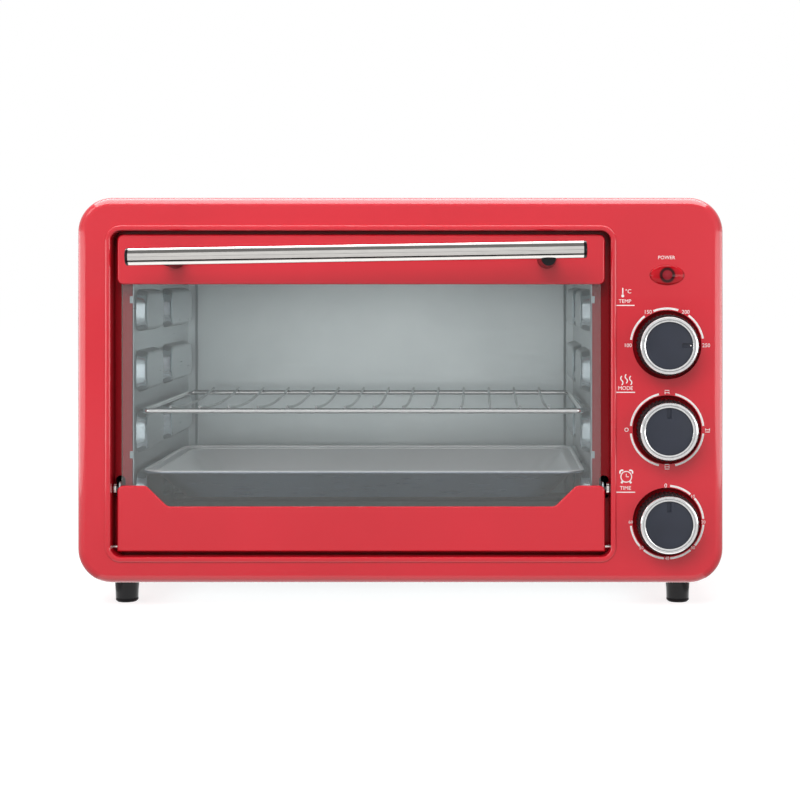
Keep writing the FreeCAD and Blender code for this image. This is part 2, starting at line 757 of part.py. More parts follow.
def cavity_wall(side):
    sign = 1 if side == "left" else -1
    body = new_body("cavity_%s_wall" % side, ("cavity_" + side, "cavity_y", 0))
    skin = "0 - cavity_sheet" if side == "left" else 0
    plate = [(0, "cavity_low"), ("cavity_depth", "cavity_low"), ("cavity_depth", "cavity_high"),
             (0, "cavity_high")]
    pad(body, "YZ", [("polygon", plate)], "cavity_sheet", skin)
    low = "cavity_low + pad_base"
    for start, length in (("front_pad_start", "front_pad_length"), ("rear_pad_start", "rear_pad_length")):
        foot = ("rounded", start, low, "%s + %s" % (start, length), "%s + pad_height" % low, "pad_radius")
        crest = ("rounded", "%s + pad_end_slope" % start, "%s + pad_ledge_slope" % low,
                 "%s + %s - pad_end_slope" % (start, length), "%s + pad_height - pad_ledge_slope" % low,
                 "pad_radius - pad_ledge_slope")
        shapes = []
        for kind, back in (("PartDesign::AdditiveLoft", 0), ("PartDesign::SubtractiveLoft", "cavity_sheet")):
            loft = body.newObject(kind, body.Name + "_loft")
            shift = "%d * (%s)" % (-sign, back)
            loft.Profile = (sketch(body, "YZ", [foot], shift), [""])
            loft.Sections = [(sketch(body, "YZ", [crest], "%d * pad_rise + %s" % (sign, shift)), [""])]
            loft.Ruled = True
            doc.recompute()
            shapes.append(loft)
        row(body, shapes, "Z_Axis", "pad_pitch", "pad_rows")
    tab_skin = "0 - cavity_sheet - fold_reach" if side == "left" else 0
    for share in ("fold_low_share", "fold_high_share"):
        tab_low = "cavity_low + cavity_height * %s" % share
        tab_high = "%s + fold_height" % tab_low
        neck = [("0 - frame_sheet - cavity_sheet", tab_low), (0, tab_low), (0, tab_high),
                ("0 - frame_sheet - cavity_sheet", tab_high)]
        pad(body, "YZ", [("polygon", neck)], "cavity_sheet", skin)
        fold = [("0 - frame_sheet - cavity_sheet", tab_low), ("0 - frame_sheet", tab_low),
                ("0 - frame_sheet", tab_high), ("0 - frame_sheet - cavity_sheet", tab_high)]
        pad(body, "YZ", [("polygon", fold)], "cavity_sheet + fold_reach", tab_skin)
    for depth in ("heater_inset", "cavity_depth - heater_inset"):
        for height in ("cavity_low + heater_drop", "cavity_high - heater_drop"):
            pocket(body, "YZ", [("circle", depth, height, "heater_radius + seat_gap")],
                   "cavity_sheet + 2 * cut_over", "0 - cavity_sheet - cut_over")


def cavity_back_wall():
    body = new_body("cavity_back_wall", (0, "cavity_rear_y", 0))
    plate = [("cavity_left - cavity_sheet", "cavity_low - cavity_sheet"),
             ("cavity_right + cavity_sheet", "cavity_low - cavity_sheet"),
             ("cavity_right + cavity_sheet", "cavity_high + cavity_sheet"),
             ("cavity_left - cavity_sheet", "cavity_high + cavity_sheet")]
    pad(body, "XZ", [("polygon", plate)], "cavity_sheet")
    # the middle of the sheet stands forward between two upright bends
    field = [("cavity_left + crease_inset", 0),
             ("cavity_left + crease_inset + crease_rise", "0 - crease_rise"),
             ("cavity_right - crease_inset - crease_rise", "0 - crease_rise"),
             ("cavity_right - crease_inset", 0)]
    pad(body, "XY", [("polygon", field)], "cavity_height", "cavity_low")
    hollow = [("cavity_left + crease_inset + cavity_sheet", "cavity_sheet"),
              ("cavity_left + crease_inset + crease_rise + cavity_sheet", "cavity_sheet - crease_rise"),
              ("cavity_right - crease_inset - crease_rise - cavity_sheet", "cavity_sheet - crease_rise"),
              ("cavity_right - crease_inset - cavity_sheet", "cavity_sheet")]
    pocket(body, "XY", [("polygon", hollow)], "cavity_height - 2 * cavity_sheet",
           "cavity_low + cavity_sheet")


def cavity_cover(label, height):
    """Roof or floor sheet of the cavity, lying against the edges of the side walls."""
    body = new_body(label, (0, "cavity_y", height))
    plate = [("cavity_left - cavity_sheet", 0), ("cavity_right + cavity_sheet", 0),
             ("cavity_right + cavity_sheet", "cavity_depth"), ("cavity_left - cavity_sheet", "cavity_depth")]
    pad(body, "XY", [("polygon", plate)], "cavity_sheet")


# Heaters: four tubes across the cavity, held in ceramic bushes outside the side walls

HEATERS = {
    "upper_front_heater": ("cavity_y + heater_inset", "cavity_high - heater_drop"),
    "upper_rear_heater": ("cavity_rear_y - heater_inset", "cavity_high - heater_drop"),
    "lower_front_heater": ("cavity_y + heater_inset", "cavity_low + heater_drop"),
    "lower_rear_heater": ("cavity_rear_y - heater_inset", "cavity_low + heater_drop"),
}


def heaters():
    bushes = []
    for label, (y, z) in HEATERS.items():
        reach = "cavity_sheet + ceramic_length"
        tube = rod(label + "_tube", "heater_radius", "cavity_width + 2 * (%s)" % reach,
                   ("cavity_left - (%s)" % reach, y, z), "X")
        pin = rod(label + "_pin", "terminal_radius", "cavity_width + 2 * (%s + terminal_length)" % reach,
                  ("cavity_left - (%s) - terminal_length" % reach, y, z), "X")
        sub_part(joined(label, [tube, pin]), label)
        for side, low_x in (("left", "cavity_left - cavity_sheet - ceramic_length"),
                            ("right", "cavity_right + cavity_sheet")):
            name = "%s_%s_bush" % (label, side)
            outside = rod(name + "_outside", "ceramic_radius", "ceramic_length", (low_x, y, z), "X")
            bore = rod(name + "_bore", "heater_radius + running_gap", "ceramic_length + 2 * cut_over",
                       ("%s - cut_over" % low_x, y, z), "X")
            bushes.append(less(name, outside, [bore]))
    group("heater_ceramics", bushes)


# Feet and their screws

def feet():
    screws = []
    for end, y in (("front", "face_y + foot_inset"), ("rear", "face_y + body_depth - foot_rear_inset")):
        pair = []
        for side, x in (("left", "-foot_x"), ("right", "foot_x")):
            body = doc.addObject("PartDesign::Body", "%s_%s_foot" % (end, side))
            pair.append(put(body, (x, y, 0)))
            turned(body, "XZ", [("screw_radius + running_gap", "body_lift / 3"),
                                ("screw_head_radius + seat_gap", "body_lift / 3"),
                                ("screw_head_radius + seat_gap", 0),
                                ("foot_sole_radius - foot_round", 0), ("foot_sole_radius", "foot_round"),
                                ("foot_top_radius", "casing_low"),
                                ("screw_radius + running_gap", "casing_low")])
            name = "%s_%s_foot_screw" % (end, side)
            shank = rod(name + "_shank", "screw_radius", "casing_low + casing_sheet - body_lift / 3",
                        (x, y, "body_lift / 3"))
            head = rod(name + "_head", "screw_head_radius", "screw_head_depth",
                       (x, y, "body_lift / 3 - screw_head_depth"))
            screws.append(joined(name, [shank, head]))
        group(end + "_feet", pair)
    group("foot_screws", screws)


# Screws that hold the rear panel's flange to the casing, seen from behind

def casing_screws():
    screws = []
    columns = {"left": "-(body_width / 2 - corner_radius)", "right": "body_width / 2 - corner_radius"}
    levels = {"low": "panel_low + corner_radius / 2", "high": "panel_high - corner_radius / 2"}
    for column, x in columns.items():
        for level, z in levels.items():
            name = "casing_screw_%s_%s" % (column, level)
            at = (x, "panel_y + panel_sheet", z)
            screws.append(rod(name, "screw_head_radius", "screw_head_depth", at, "Y"))
    group("casing_screws", screws)


# Control bay: heat shield, thermostat, heat selector, timer and lamp

def heat_shield():
    body = new_body("heat_shield", ("shield_x", "face_y", "casing_low + casing_sheet + panel_sheet"))
    bend = "frame_return + shield_sheet"
    outline = [(0, "frame_return"), ("shield_flange", "frame_return"), ("shield_flange", bend),
               ("shield_sheet", bend), ("shield_sheet", "base_plate_end - shield_sheet"),
               ("shield_flange", "base_plate_end - shield_sheet"), ("shield_flange", "base_plate_end"),
               (0, "base_plate_end")]
    height = "casing_high - casing_low - 2 * casing_sheet - panel_sheet - casing_gap"
    pad(body, "XY", [("polygon", outline)], height)


def control_body(label, rise, outline, depth):
    """A switch body behind the frame, bored for its spindle, with two blade tabs at the back."""
    at = ("knob_shift", "face_y + dish_depth + frame_sheet", "body_lift + " + rise)
    body = new_body(label, at)
    pad(body, "XZ", [outline], depth)
    plate = ("rounded", "-dish_radius * 0.8", "-dish_radius * 0.5", "dish_radius * 0.8", "dish_radius * 0.5",
             "dish_radius / 8")
    pad(body, "XZ", [plate], "control_flange")
    tabs = []
    for place in ("-tab_width - control_flange", "control_flange"):
        tab = [(place, "-tab_sheet / 2"), ("%s + tab_width" % place, "-tab_sheet / 2"),
               ("%s + tab_width" % place, "tab_sheet / 2"), (place, "tab_sheet / 2")]
        tabs.append(pad(body, "XZ", [("polygon", tab)], "tab_length", depth))
    pocket(body, "XZ", [("circle", 0, 0, "spindle_radius + running_gap")], "(%s) / 2 + cut_over" % depth,
           "-cut_over")


def control_bodies():
    control_body("thermostat_body", "thermostat_rise", ("circle", 0, 0, "thermostat_radius"),
                 "thermostat_depth")
    control_body("selector_body", "selector_rise",
                 ("rounded", "-selector_width / 2", "-selector_height / 2", "selector_width / 2",
                  "selector_height / 2", "control_flange"), "selector_depth")
    control_body("timer_body", "timer_rise", ("circle", 0, 0, "timer_radius"), "timer_depth")


def knob(label, rise, spindle_depth, pointer_turn):
    """A knob of four pieces: knurled skirt, bright ring, dark cap and D-shaped spindle."""
    at = ("knob_shift", "knob_y", "body_lift + " + rise)
    skirt = new_body(label + "_knob_skirt", at)
    turned(skirt, "XY", [("spindle_radius + running_gap", "-skirt_bore"),
                         ("spindle_radius + running_gap", 0), ("skirt_radius - tooth_depth / 2", 0),
                         ("skirt_radius", "-tooth_depth / 2"),
                         ("skirt_radius", "tooth_depth - skirt_depth"),
                         ("skirt_radius - tooth_depth", "-skirt_depth"), (0, "-skirt_depth"),
                         (0, "-skirt_bore")])
    half_tooth = "skirt_radius * sin(360 / skirt_teeth) / 4"
    notch = [("skirt_radius - tooth_depth", 0), ("skirt_radius + tooth_depth / 4", "-(%s)" % half_tooth),
             ("skirt_radius + tooth_depth / 4", half_tooth)]
    cut = pocket(skirt, "XZ", [("polygon", notch)], "skirt_depth + cut_over", "-skirt_depth - cut_over / 2")
    round_row(skirt, [cut], "Y_Axis", "skirt_teeth")
    ring = new_body(label + "_knob_ring", at)
    base = "-skirt_depth"
    top = "-skirt_depth - ring_depth"
    turned(ring, "XY", [("knob_cap_radius", base), ("ring_radius", base),
                        ("ring_radius", "%s + ring_bevel" % top), ("ring_radius - ring_bevel", top),
                        ("knob_cap_radius + ring_bevel / 2", top),
                        ("knob_cap_radius", "%s + ring_bevel / 2" % top)])
    cap = new_body(label + "_knob_cap", at, (Y_AXIS, pointer_turn))
    face = "-skirt_depth - knob_cap_depth"
    turned(cap, "XY", [(0, base), ("knob_cap_radius - running_gap", base),
                       ("knob_cap_radius - running_gap", face),
                       ("knob_cap_radius * 0.6", "%s - knob_cap_dome * 0.75" % face),
                       (0, "%s - knob_cap_dome" % face)])
    slot = ("rounded", "-pointer_width / 2", "knob_cap_radius - pointer_length", "pointer_width / 2",
            "knob_cap_radius + cut_over", "pointer_width / 4")
    pocket(cap, "XZ", [slot], "pointer_depth + knob_cap_dome + cut_over",
           "%s - knob_cap_dome - cut_over" % face)
    spindle = new_body(label + "_spindle", at)
    d_shape = ("circle", 0, 0, "spindle_radius")
    pad(spindle, "XZ", [d_shape], "skirt_bore + (%s)" % spindle_depth, "-skirt_bore")
    flat = [("-spindle_radius - cut_over", "spindle_flat"), ("spindle_radius + cut_over", "spindle_flat"),
            ("spindle_radius + cut_over", "spindle_radius + cut_over"),
            ("-spindle_radius - cut_over", "spindle_radius + cut_over")]
    pocket(spindle, "XZ", [("polygon", flat)], "skirt_bore * 0.7 + cut_over", "-skirt_bore - cut_over")


def knobs():
    reach = "knob_gap + frame_sheet + (%s) / 2 - control_flange"
    knob("thermostat", "thermostat_rise", reach % "thermostat_depth", "thermostat_turn")
    knob("selector", "selector_rise", reach % "selector_depth", "selector_turn")
    knob("timer", "timer_rise", reach % "timer_depth", "timer_turn")


def lamp():
    at = ("knob_shift", "face_y", "body_lift + lamp_rise")
    dome = doc.addObject("Part::Ellipsoid", "lens_dome_shape")
    dome.setExpression("Radius1", bound("lens_height / 2"))
    dome.setExpression("Radius2", bound("lens_width / 2"))
    dome.setExpression("Radius3", bound("lens_dome"))
    put(dome, at)
    room = ("lens_width + 2 * cut_over", "lens_dome + cut_over", "lens_height + 2 * cut_over")
    corner = ("knob_shift - lens_width / 2 - cut_over", "face_y",
              "body_lift + lamp_rise - lens_height / 2 - cut_over")
    behind = block("lens_behind", room, corner)
    front = less("lens_front", dome, [behind])
    stem = rod("lens_stem", "lens_stem_radius", "lens_stem_length", at, "Y")
    sub_part(joined("lamp_lens", [front, stem]), "lamp_lens")
    sub_part(rod("neon_lamp", "neon_radius", "neon_length",
                 ("knob_shift", "face_y + lens_stem_length", "body_lift + lamp_rise"), "Y"), "neon_lamp")


# Door: two pressed rails, the pane, its clamps, brackets and pins

def door_gap_outline(low, high):
    """The room of the pane between the side walls of a rail."""
    left = "door_left + door_sheet"
    right = "door_right - door_sheet"
    return ("polygon", [(left, low), (right, low), (right, high), (left, high)])


def door_top_rail():
    body = new_body("door_top_rail", (0, "face_y + door_recess", 0))
    outline = ("rounded", "door_left", "top_rail_low", "door_right", "door_high", "door_corner")
    blank = pad(body, "XZ", [outline], "door_depth")
    smooth = soften(body, blank, "door_round", lambda edge: edge.BoundBox.YMax < TOUCH)
    shelled(body, smooth, "door_sheet", amount("door_depth"))
    # the side towards the pane is open behind the front sheet
    gap = door_gap_outline("top_rail_low - cut_over", "top_rail_low + door_corner")
    pocket(body, "XZ", [gap], "door_depth", "door_sheet + glass_gap / 2")
    for side in SIDES:
        hole = ("circle", "standoff_" + side, "handle_screw_z", "handle_screw_radius + running_gap")
        pocket(body, "XZ", [hole], "door_sheet + 2 * cut_over", "-cut_over")


def door_bottom_rail():
    body = new_body("door_bottom_rail", (0, "face_y + door_recess", 0))
    inner_left = "door_left + ear_width"
    inner_right = "door_right - ear_width"
    outline = [("door_left", "door_low"), ("door_right", "door_low"), ("door_right", "ear_high"),
               (inner_right, "ear_high"), ("%s - ear_run" % inner_right, "base_rail_high"),
               ("%s + ear_run" % inner_left, "base_rail_high"), (inner_left, "ear_high"),
               ("door_left", "ear_high")]
    blank = pad(body, "XZ", [("polygon", outline)], "door_depth")
    half = amount("(door_right - door_left) / 2")
    depth = amount("door_depth")

    def from_middle(edge):
        return abs(edge.CenterOfMass.x - amount("opening_shift"))

    def runs_back(edge):
        return abs(edge.BoundBox.YLength - depth) < TOUCH

    def ear_top(edge):
        return runs_back(edge) and from_middle(edge) > half - TOUCH and edge.CenterOfMass.z > amount("arm_z")
    corners = soften(body, blank, "door_corner", ear_top)
    bends = soften(body, corners, "ear_round",
                   lambda edge: runs_back(edge) and from_middle(edge) < half - amount("ear_width") + TOUCH)
    smooth = soften(body, bends, "door_round", lambda edge: edge.BoundBox.YMax < TOUCH)
    shelled(body, smooth, "door_sheet", amount("door_depth"))
    gap = door_gap_outline("base_rail_high - ear_round", "ear_high + cut_over")
    pocket(body, "XZ", [gap], "door_depth", "door_sheet + glass_gap / 2")
    for pivot, pin in (("hinge", "hinge_pin_radius"), ("arm", "arm_pin_radius")):
        hole = ("circle", "%s_y - face_y - door_recess" % pivot, pivot + "_z", pin + " + seat_gap")
        pocket(body, "YZ", [hole], "opening_width", "opening_left")


def door_glass():
    body = new_body("door_glass", (0, "glass_y", 0))
    pane = ("rounded", "door_left + glass_margin", "glass_low", "door_right - glass_margin", "glass_high",
            "glass_corner")
    loose = "handle_screw_radius + seat_gap"
    holes = [("circle", "standoff_" + side, "handle_screw_z", loose) for side in SIDES]
    pad(body, "XZ", [pane] + holes, "glass_sheet")


def glass_clamps():
    """Bent strips behind the pane that press it against the rails."""
    for label, low in (("upper_glass_clamp", "glass_high - clamp_height - glass_corner"),
                       ("lower_glass_clamp", "glass_low + glass_corner")):
        body = new_body(label, (0, "glass_y + glass_sheet", low))
        depth = "door_depth - door_sheet - glass_gap - glass_sheet - clamp_sheet"
        left = "door_left + glass_margin"
        right = "door_right - glass_margin"
        outline = [(left, 0), (right, 0), (right, "clamp_height"), (left, "clamp_height")]
        pad(body, "XZ", [("polygon", outline)], "clamp_sheet")
        lip_low = "clamp_height - clamp_sheet" if label.startswith("lower") else "0"
        lip_high = "%s + clamp_sheet" % lip_low
        lip = [(left, lip_low), (right, lip_low), (right, lip_high), (left, lip_high)]
        pad(body, "XZ", [("polygon", lip)], depth)
        if label.startswith("upper"):
            for side in SIDES:
                hole = ("circle", "standoff_" + side, "handle_screw_z - (%s)" % low,
                        "handle_screw_radius + seat_gap")
                pocket(body, "XZ", [hole], "clamp_sheet + 2 * cut_over", "-cut_over")


def door_hinge_parts():
    """Bracket inside each end of the bottom rail, with the hinge pin and the stay arm's rivet."""
    pins = []
    rivets = []
    for side in SIDES:
        inset = "door_gap + door_sheet"
        at = (mirrored_x(side, inset, "bracket_sheet"), "hinge_y", "hinge_z")
        body = new_body("door_bracket_" + side, at)
        web = ("rounded", "-bracket_front", "door_low + door_sheet + running_gap - hinge_z", "bracket_back",
               "arm_pin_rise + bracket_foot", "bracket_front * 0.6")
        pad(body, "YZ", [web], "bracket_sheet")
        for y, z, pin in ((0, 0, "hinge_pin_radius"), ("arm_pin_back", "arm_pin_rise", "arm_pin_radius")):
            pocket(body, "YZ", [("circle", y, z, pin + " + running_gap")], "bracket_sheet + 2 * cut_over",
                   "-cut_over")
        pin_length = "hinge_pin_reach + frame_sheet + door_gap + door_sheet + bracket_sheet"
        pin_x = mirrored_x(side, "-frame_sheet - hinge_pin_reach", pin_length)
        pin = rod("hinge_pin_%s_shank" % side, "hinge_pin_radius", pin_length,
                  (pin_x, "hinge_y", "hinge_z"), "X")
        collar_x = mirrored_x(side, "%s + bracket_sheet" % inset, "bracket_sheet")
        collar = rod("hinge_pin_%s_collar" % side, "hinge_collar_radius", "bracket_sheet",
                     (collar_x, "hinge_y", "hinge_z"), "X")
        pins.append(joined("hinge_pin_" + side, [pin, collar]))
        head_inset = "arm_side_gap / 2 - running_gap"
        rivet_length = "door_gap - (%s) + door_sheet + bracket_sheet" % head_inset
        rivet = rod("arm_rivet_%s_shank" % side, "arm_pin_radius", rivet_length,
                    (mirrored_x(side, head_inset, rivet_length), "arm_y", "arm_z"), "X")
        head = rod("arm_rivet_%s_head" % side, "arm_pin_head_radius", "arm_side_gap / 2",
                   (mirrored_x(side, head_inset, "arm_side_gap / 2"), "arm_y", "arm_z"), "X")
        rivets.append(joined("arm_rivet_" + side, [rivet, head]))
    group("hinge_pins", pins)
    group("arm_rivets", rivets)


# Stay arms: flat bars that swing on the door and run through the slots of the frame

def door_arms():
    for side in SIDES:
        at = (mirrored_x(side, "arm_side_gap", "arm_sheet"), "arm_y", "arm_z")
        body = new_body("door_arm_" + side, at)
        bar = ("rounded", "-arm_height / 2", "-arm_height / 2", "arm_length - arm_height / 2",
               "arm_height / 2", "arm_height * 0.48")
        eye = ("circle", 0, 0, "arm_pin_radius + running_gap")
        hook = ("circle", "arm_length - arm_height", 0, "arm_hook_radius")
        pad(body, "YZ", [bar, eye, hook], "arm_sheet")
        notch = ("rounded", "arm_notch_start", "-arm_height", "arm_notch_start + arm_height",
                 "arm_notch - arm_height / 2", "arm_notch * 0.9")
        pocket(body, "YZ", [notch], "arm_sheet + 2 * cut_over", "-cut_over")


# Door springs: from the arm's tail to a peg on the cavity wall

def ring_of_wire(x, y, z):
    """A closed eye of spring wire lying flat, round a point."""
    centre = Vector(amount(x), amount(y), amount(z))
    return Part.makeTorus(amount("hook_radius"), amount("spring_wire"), centre, Z_AXIS)


def door_springs():
    springs = []
    anchors = []
    tail = "arm_y + arm_length - arm_height"
    for side in SIDES:
        x = mirrored_x(side, "arm_side_gap + arm_sheet / 2", "0")
        front = "%s + hook_radius" % tail
        coil_start = "%s + hook_radius" % front
        rear = "%s + spring_length + hook_radius" % coil_start
        coil = Part.makeCylinder(amount("spring_radius"), amount("spring_length"),
                                 Vector(amount(x), amount(coil_start), amount("arm_z")), Y_AXIS)
        eyes = [ring_of_wire(x, front, "arm_z"), ring_of_wire(x, rear, "arm_z")]
        springs.append(coil.multiFuse(eyes))
        wall = "cavity_left - cavity_sheet" if side == "left" else "cavity_right + cavity_sheet"
        reach = abs(amount(x) - amount(wall)) + amount("hook_radius")
        low_x = amount(wall) - reach if side == "left" else amount(wall)
        y = amount(rear)
        half = amount("anchor_height") / 2
        sheet = amount("anchor_sheet")
        drop = amount("arm_z - spring_radius - seat_gap") - sheet
        shelf = Part.makeBox(reach, 2 * half, sheet, Vector(low_x, y - half, drop))
        leg_x = amount(wall) - sheet if side == "left" else amount(wall)
        leg = Part.makeBox(sheet, 2 * half, 2 * half, Vector(leg_x, y - half, drop - 2 * half))
        peg = Part.makeCylinder(amount("hook_radius - spring_wire - seat_gap"), 2 * half,
                                Vector(amount(x), y, drop), Z_AXIS)
        anchors.append(shelf.multiFuse([leg, peg]))
    shape_part("door_springs", Part.makeCompound(springs))
    shape_part("spring_anchors", Part.makeCompound(anchors))


# Handle: a steel tube on two round stand-offs, a little out of level as in the photograph

def handle():
    slope = (Y_AXIS, "90 - tube_tilt")
    start = ("tube_x - tube_length / 2 * cos(tube_tilt)", "tube_y",
             "door_high - tube_drop - tube_length / 2 * sin(tube_tilt)")
    outside = doc.addObject("Part::Cylinder", "tube_outside")
    outside.setExpression("Radius", bound("tube_radius"))
    outside.setExpression("Height", bound("tube_length"))
    put(outside, start, slope)
    bore = doc.addObject("Part::Cylinder", "tube_bore")
    bore.setExpression("Radius", bound("tube_radius - tube_wall"))
    bore.setExpression("Height", bound("tube_length"))
    put(bore, start, slope)
    seats = []
    for side in SIDES:
        seats.append(rod("tube_screw_hole_" + side, "handle_screw_radius + seat_gap",
                         "tube_radius + cut_over", ("standoff_" + side, "tube_y", "handle_screw_z"), "Y"))
    sub_part(less("handle_tube", outside, [bore] + seats), "handle_tube")
    caps = []
    for side, sign in (("left", -1), ("right", 1)):
        at = ("tube_x + %d * tube_length / 2 * cos(tube_tilt)" % sign, "tube_y",
              "door_high - tube_drop + %d * tube_length / 2 * sin(tube_tilt)" % sign)
        cap = doc.addObject("PartDesign::Body", "handle_cap_" + side)
        caps.append(put(cap, at, (Y_AXIS, "%d * 90 - tube_tilt" % sign)))
        turned(cap, "XZ", [(0, "0 - cap_plug"), ("tube_radius - tube_wall - running_gap", "0 - cap_plug"),
                           ("tube_radius - tube_wall - running_gap", 0), ("tube_radius", 0),
                           ("tube_radius", "cap_reach * 0.5"), ("tube_radius * 0.72", "cap_reach * 0.92"),
                           (0, "cap_reach")])
        stand = doc.addObject("Part::Cone", "standoff_%s_blank" % side)
        stand.setExpression("Radius1", bound("standoff_tip_radius"))
        stand.setExpression("Radius2", bound("standoff_radius"))
        stand.setExpression("Height", bound("tube_standing"))
        put(stand, ("standoff_" + side, "tube_y", "standoff_z"), (-X_AXIS, "90"))
        saddle = doc.addObject("Part::Cylinder", "standoff_%s_saddle" % side)
        saddle.setExpression("Radius", bound("tube_radius + running_gap"))
        saddle.setExpression("Height", bound("tube_length"))
        put(saddle, start, slope)
        hole = rod("standoff_%s_hole" % side, "handle_screw_radius + running_gap",
                   "tube_standing + cut_over", ("standoff_" + side, "tube_y", "handle_screw_z"), "Y")
        sub_part(less("handle_standoff_" + side, stand, [saddle, hole]), "handle_standoff_" + side)
    group("handle_caps", caps)
    screws = []
    y = "tube_y + tube_radius - tube_wall"
    end = "glass_y + glass_sheet + clamp_sheet"
    for side in SIDES:
        shank = rod("handle_screw_%s_shank" % side, "handle_screw_radius", "%s - (%s)" % (end, y),
                    ("standoff_" + side, y, "handle_screw_z"), "Y")
        head = rod("handle_screw_%s_head" % side, "screw_head_radius", "screw_head_depth",
                   ("standoff_" + side, end, "handle_screw_z"), "Y")
        screws.append(joined("handle_screw_" + side, [shank, head]))
    group("handle_screws", screws)


# Rack: a closed frame of thick wire and thin sagging wires across it

def rounded_path(x0, y0, x1, y1, radius, z):
    """A closed path round a rectangle with rounded corners."""
    bulge = radius * (1 - math.sqrt(0.5))
    curves = [
        Part.LineSegment(Vector(x0 + radius, y0, z), Vector(x1 - radius, y0, z)),
        Part.Arc(Vector(x1 - radius, y0, z), Vector(x1 - bulge, y0 + bulge, z), Vector(x1, y0 + radius, z)),
        Part.LineSegment(Vector(x1, y0 + radius, z), Vector(x1, y1 - radius, z)),
        Part.Arc(Vector(x1, y1 - radius, z), Vector(x1 - bulge, y1 - bulge, z), Vector(x1 - radius, y1, z)),
        Part.LineSegment(Vector(x1 - radius, y1, z), Vector(x0 + radius, y1, z)),
        Part.Arc(Vector(x0 + radius, y1, z), Vector(x0 + bulge, y1 - bulge, z), Vector(x0, y1 - radius, z)),
        Part.LineSegment(Vector(x0, y1 - radius, z), Vector(x0, y0 + radius, z)),
        Part.Arc(Vector(x0, y0 + radius, z), Vector(x0 + bulge, y0 + bulge, z), Vector(x0 + radius, y0, z)),
    ]
    return Part.Wire([curve.toShape() for curve in curves])


def rack():
    rail = amount("rack_rail_radius")
    wire = amount("rack_wire_radius")
    half = amount("rack_width") / 2 - rail
    middle = amount("opening_shift")
    y0 = amount("rack_y") + rail
    y1 = y0 + amount("rack_depth") - 2 * rail
    z = amount("rack_z")
    path = rounded_path(middle - half, y0, middle + half, y1, amount("rack_corner"), z)
    section = Part.Wire([Part.makeCircle(rail, Vector(middle, y0, z), X_AXIS)])
    shape_part("rack_frame", path.makePipeShell([section], True, False))
    count = int(amount("rack_wire_count"))
    first = middle - half + amount("rack_wire_left")
    pitch = (middle + half - amount("rack_wire_right") - first) / (count - 1)
    seat = z + rail + wire
    overrun = amount("rack_wire_overrun")
    wires = []
    spans = int(amount("rack_wire_spans"))
    for number in range(count):
        x = first + pitch * number
        rings = []
        for step in range(spans + 1):
            share = step / spans
            y = y0 + share * (y1 + overrun - y0)
            along = (y - y0) / (y1 - y0)
            lift = -4 * amount("rack_wire_sag") * along * (1 - along)
            rings.append(Part.Wire([Part.makeCircle(wire, Vector(x, y, seat + lift), Y_AXIS)]))
        wires.append(Part.makeLoft(rings, True, True))
    shape_part("rack_wires", Part.makeCompound(wires))


# Baking tray: a tapered pan with a flat rim and a rolled edge

def baking_tray():
    body = new_body("baking_tray", ("opening_shift", "rack_y", "tray_z"))
    half = "tray_width / 2"

    def loop(inset, radius):
        return ("rounded", "(%s) - %s" % (inset, half), inset, "%s - (%s)" % (half, inset),
                "tray_depth - (%s)" % inset, radius)
    rim = "tray_rim"
    slope = "tray_rim + tray_slope"
    outer = body.newObject("PartDesign::AdditiveLoft", "tray_pan")
    outer.Profile = (sketch(body, "XY", [loop(rim, "tray_corner")]), [""])
    outer.Sections = [(sketch(body, "XY", [loop(slope, "tray_corner")], "0 - tray_drop"), [""])]
    outer.Ruled = True
    doc.recompute()
    inner = body.newObject("PartDesign::SubtractiveLoft", "tray_hollow")
    mouth = loop("%s + tray_sheet" % rim, "tray_corner - tray_sheet")
    floor = loop("%s + tray_sheet" % slope, "tray_corner - tray_sheet")
    inner.Profile = (sketch(body, "XY", [mouth], "tray_sheet"), [""])
    inner.Sections = [(sketch(body, "XY", [floor], "tray_sheet - tray_drop"), [""])]
    inner.Ruled = True
    doc.recompute()
    pad(body, "XY", [loop("tray_rim_radius", "tray_corner"), loop("%s + tray_sheet" % rim, "tray_corner")],
        "tray_sheet", "0")
    edge = body.newObject("PartDesign::AdditivePipe", "tray_edge")
    spine = sketch(body, "XY", [loop("tray_rim_radius", "tray_corner")], "tray_rim_radius")
    bead = ("circle", "tray_rim_radius", "tray_rim_radius", "tray_rim_radius")
    edge.Profile = (sketch(body, "YZ", [bead]), [""])
    edge.Spine = (spine, [""])
    doc.recompute()


front_frame()
outer_casing()
base_plate()
rear_panel()
cord_bush()
for side in SIDES:
    cavity_wall(side)
cavity_back_wall()
cavity_cover("cavity_roof", "cavity_high")
cavity_cover("cavity_floor", "cavity_low - cavity_sheet")
heaters()
feet()
casing_screws()
heat_shield()
control_bodies()
knobs()
lamp()
door_top_rail()
door_bottom_rail()
door_glass()
glass_clamps()
door_hinge_parts()
door_arms()
door_springs()
handle()
rack()
baking_tray()
doc.recompute()

# Nothing is written unless every object and every piece is sound
for item in doc.Objects:
    if "Invalid" in item.State or "Error" in item.State:
        raise RuntimeError("%s did not build" % item.Label)
for piece in made:
    if piece.Shape.isNull() or not piece.Shape.isValid():
        raise RuntimeError("%s has no sound shape" % piece.Label)
for piece in made:
    piece.Shape.exportStep("parts/%s.step" % piece.Label)
    print(piece.Label, len(piece.Shape.Solids), round(piece.Shape.Volume / 1000, 2))
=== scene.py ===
import json
import math
import bmesh
import bpy
from mathutils import Matrix, Vector


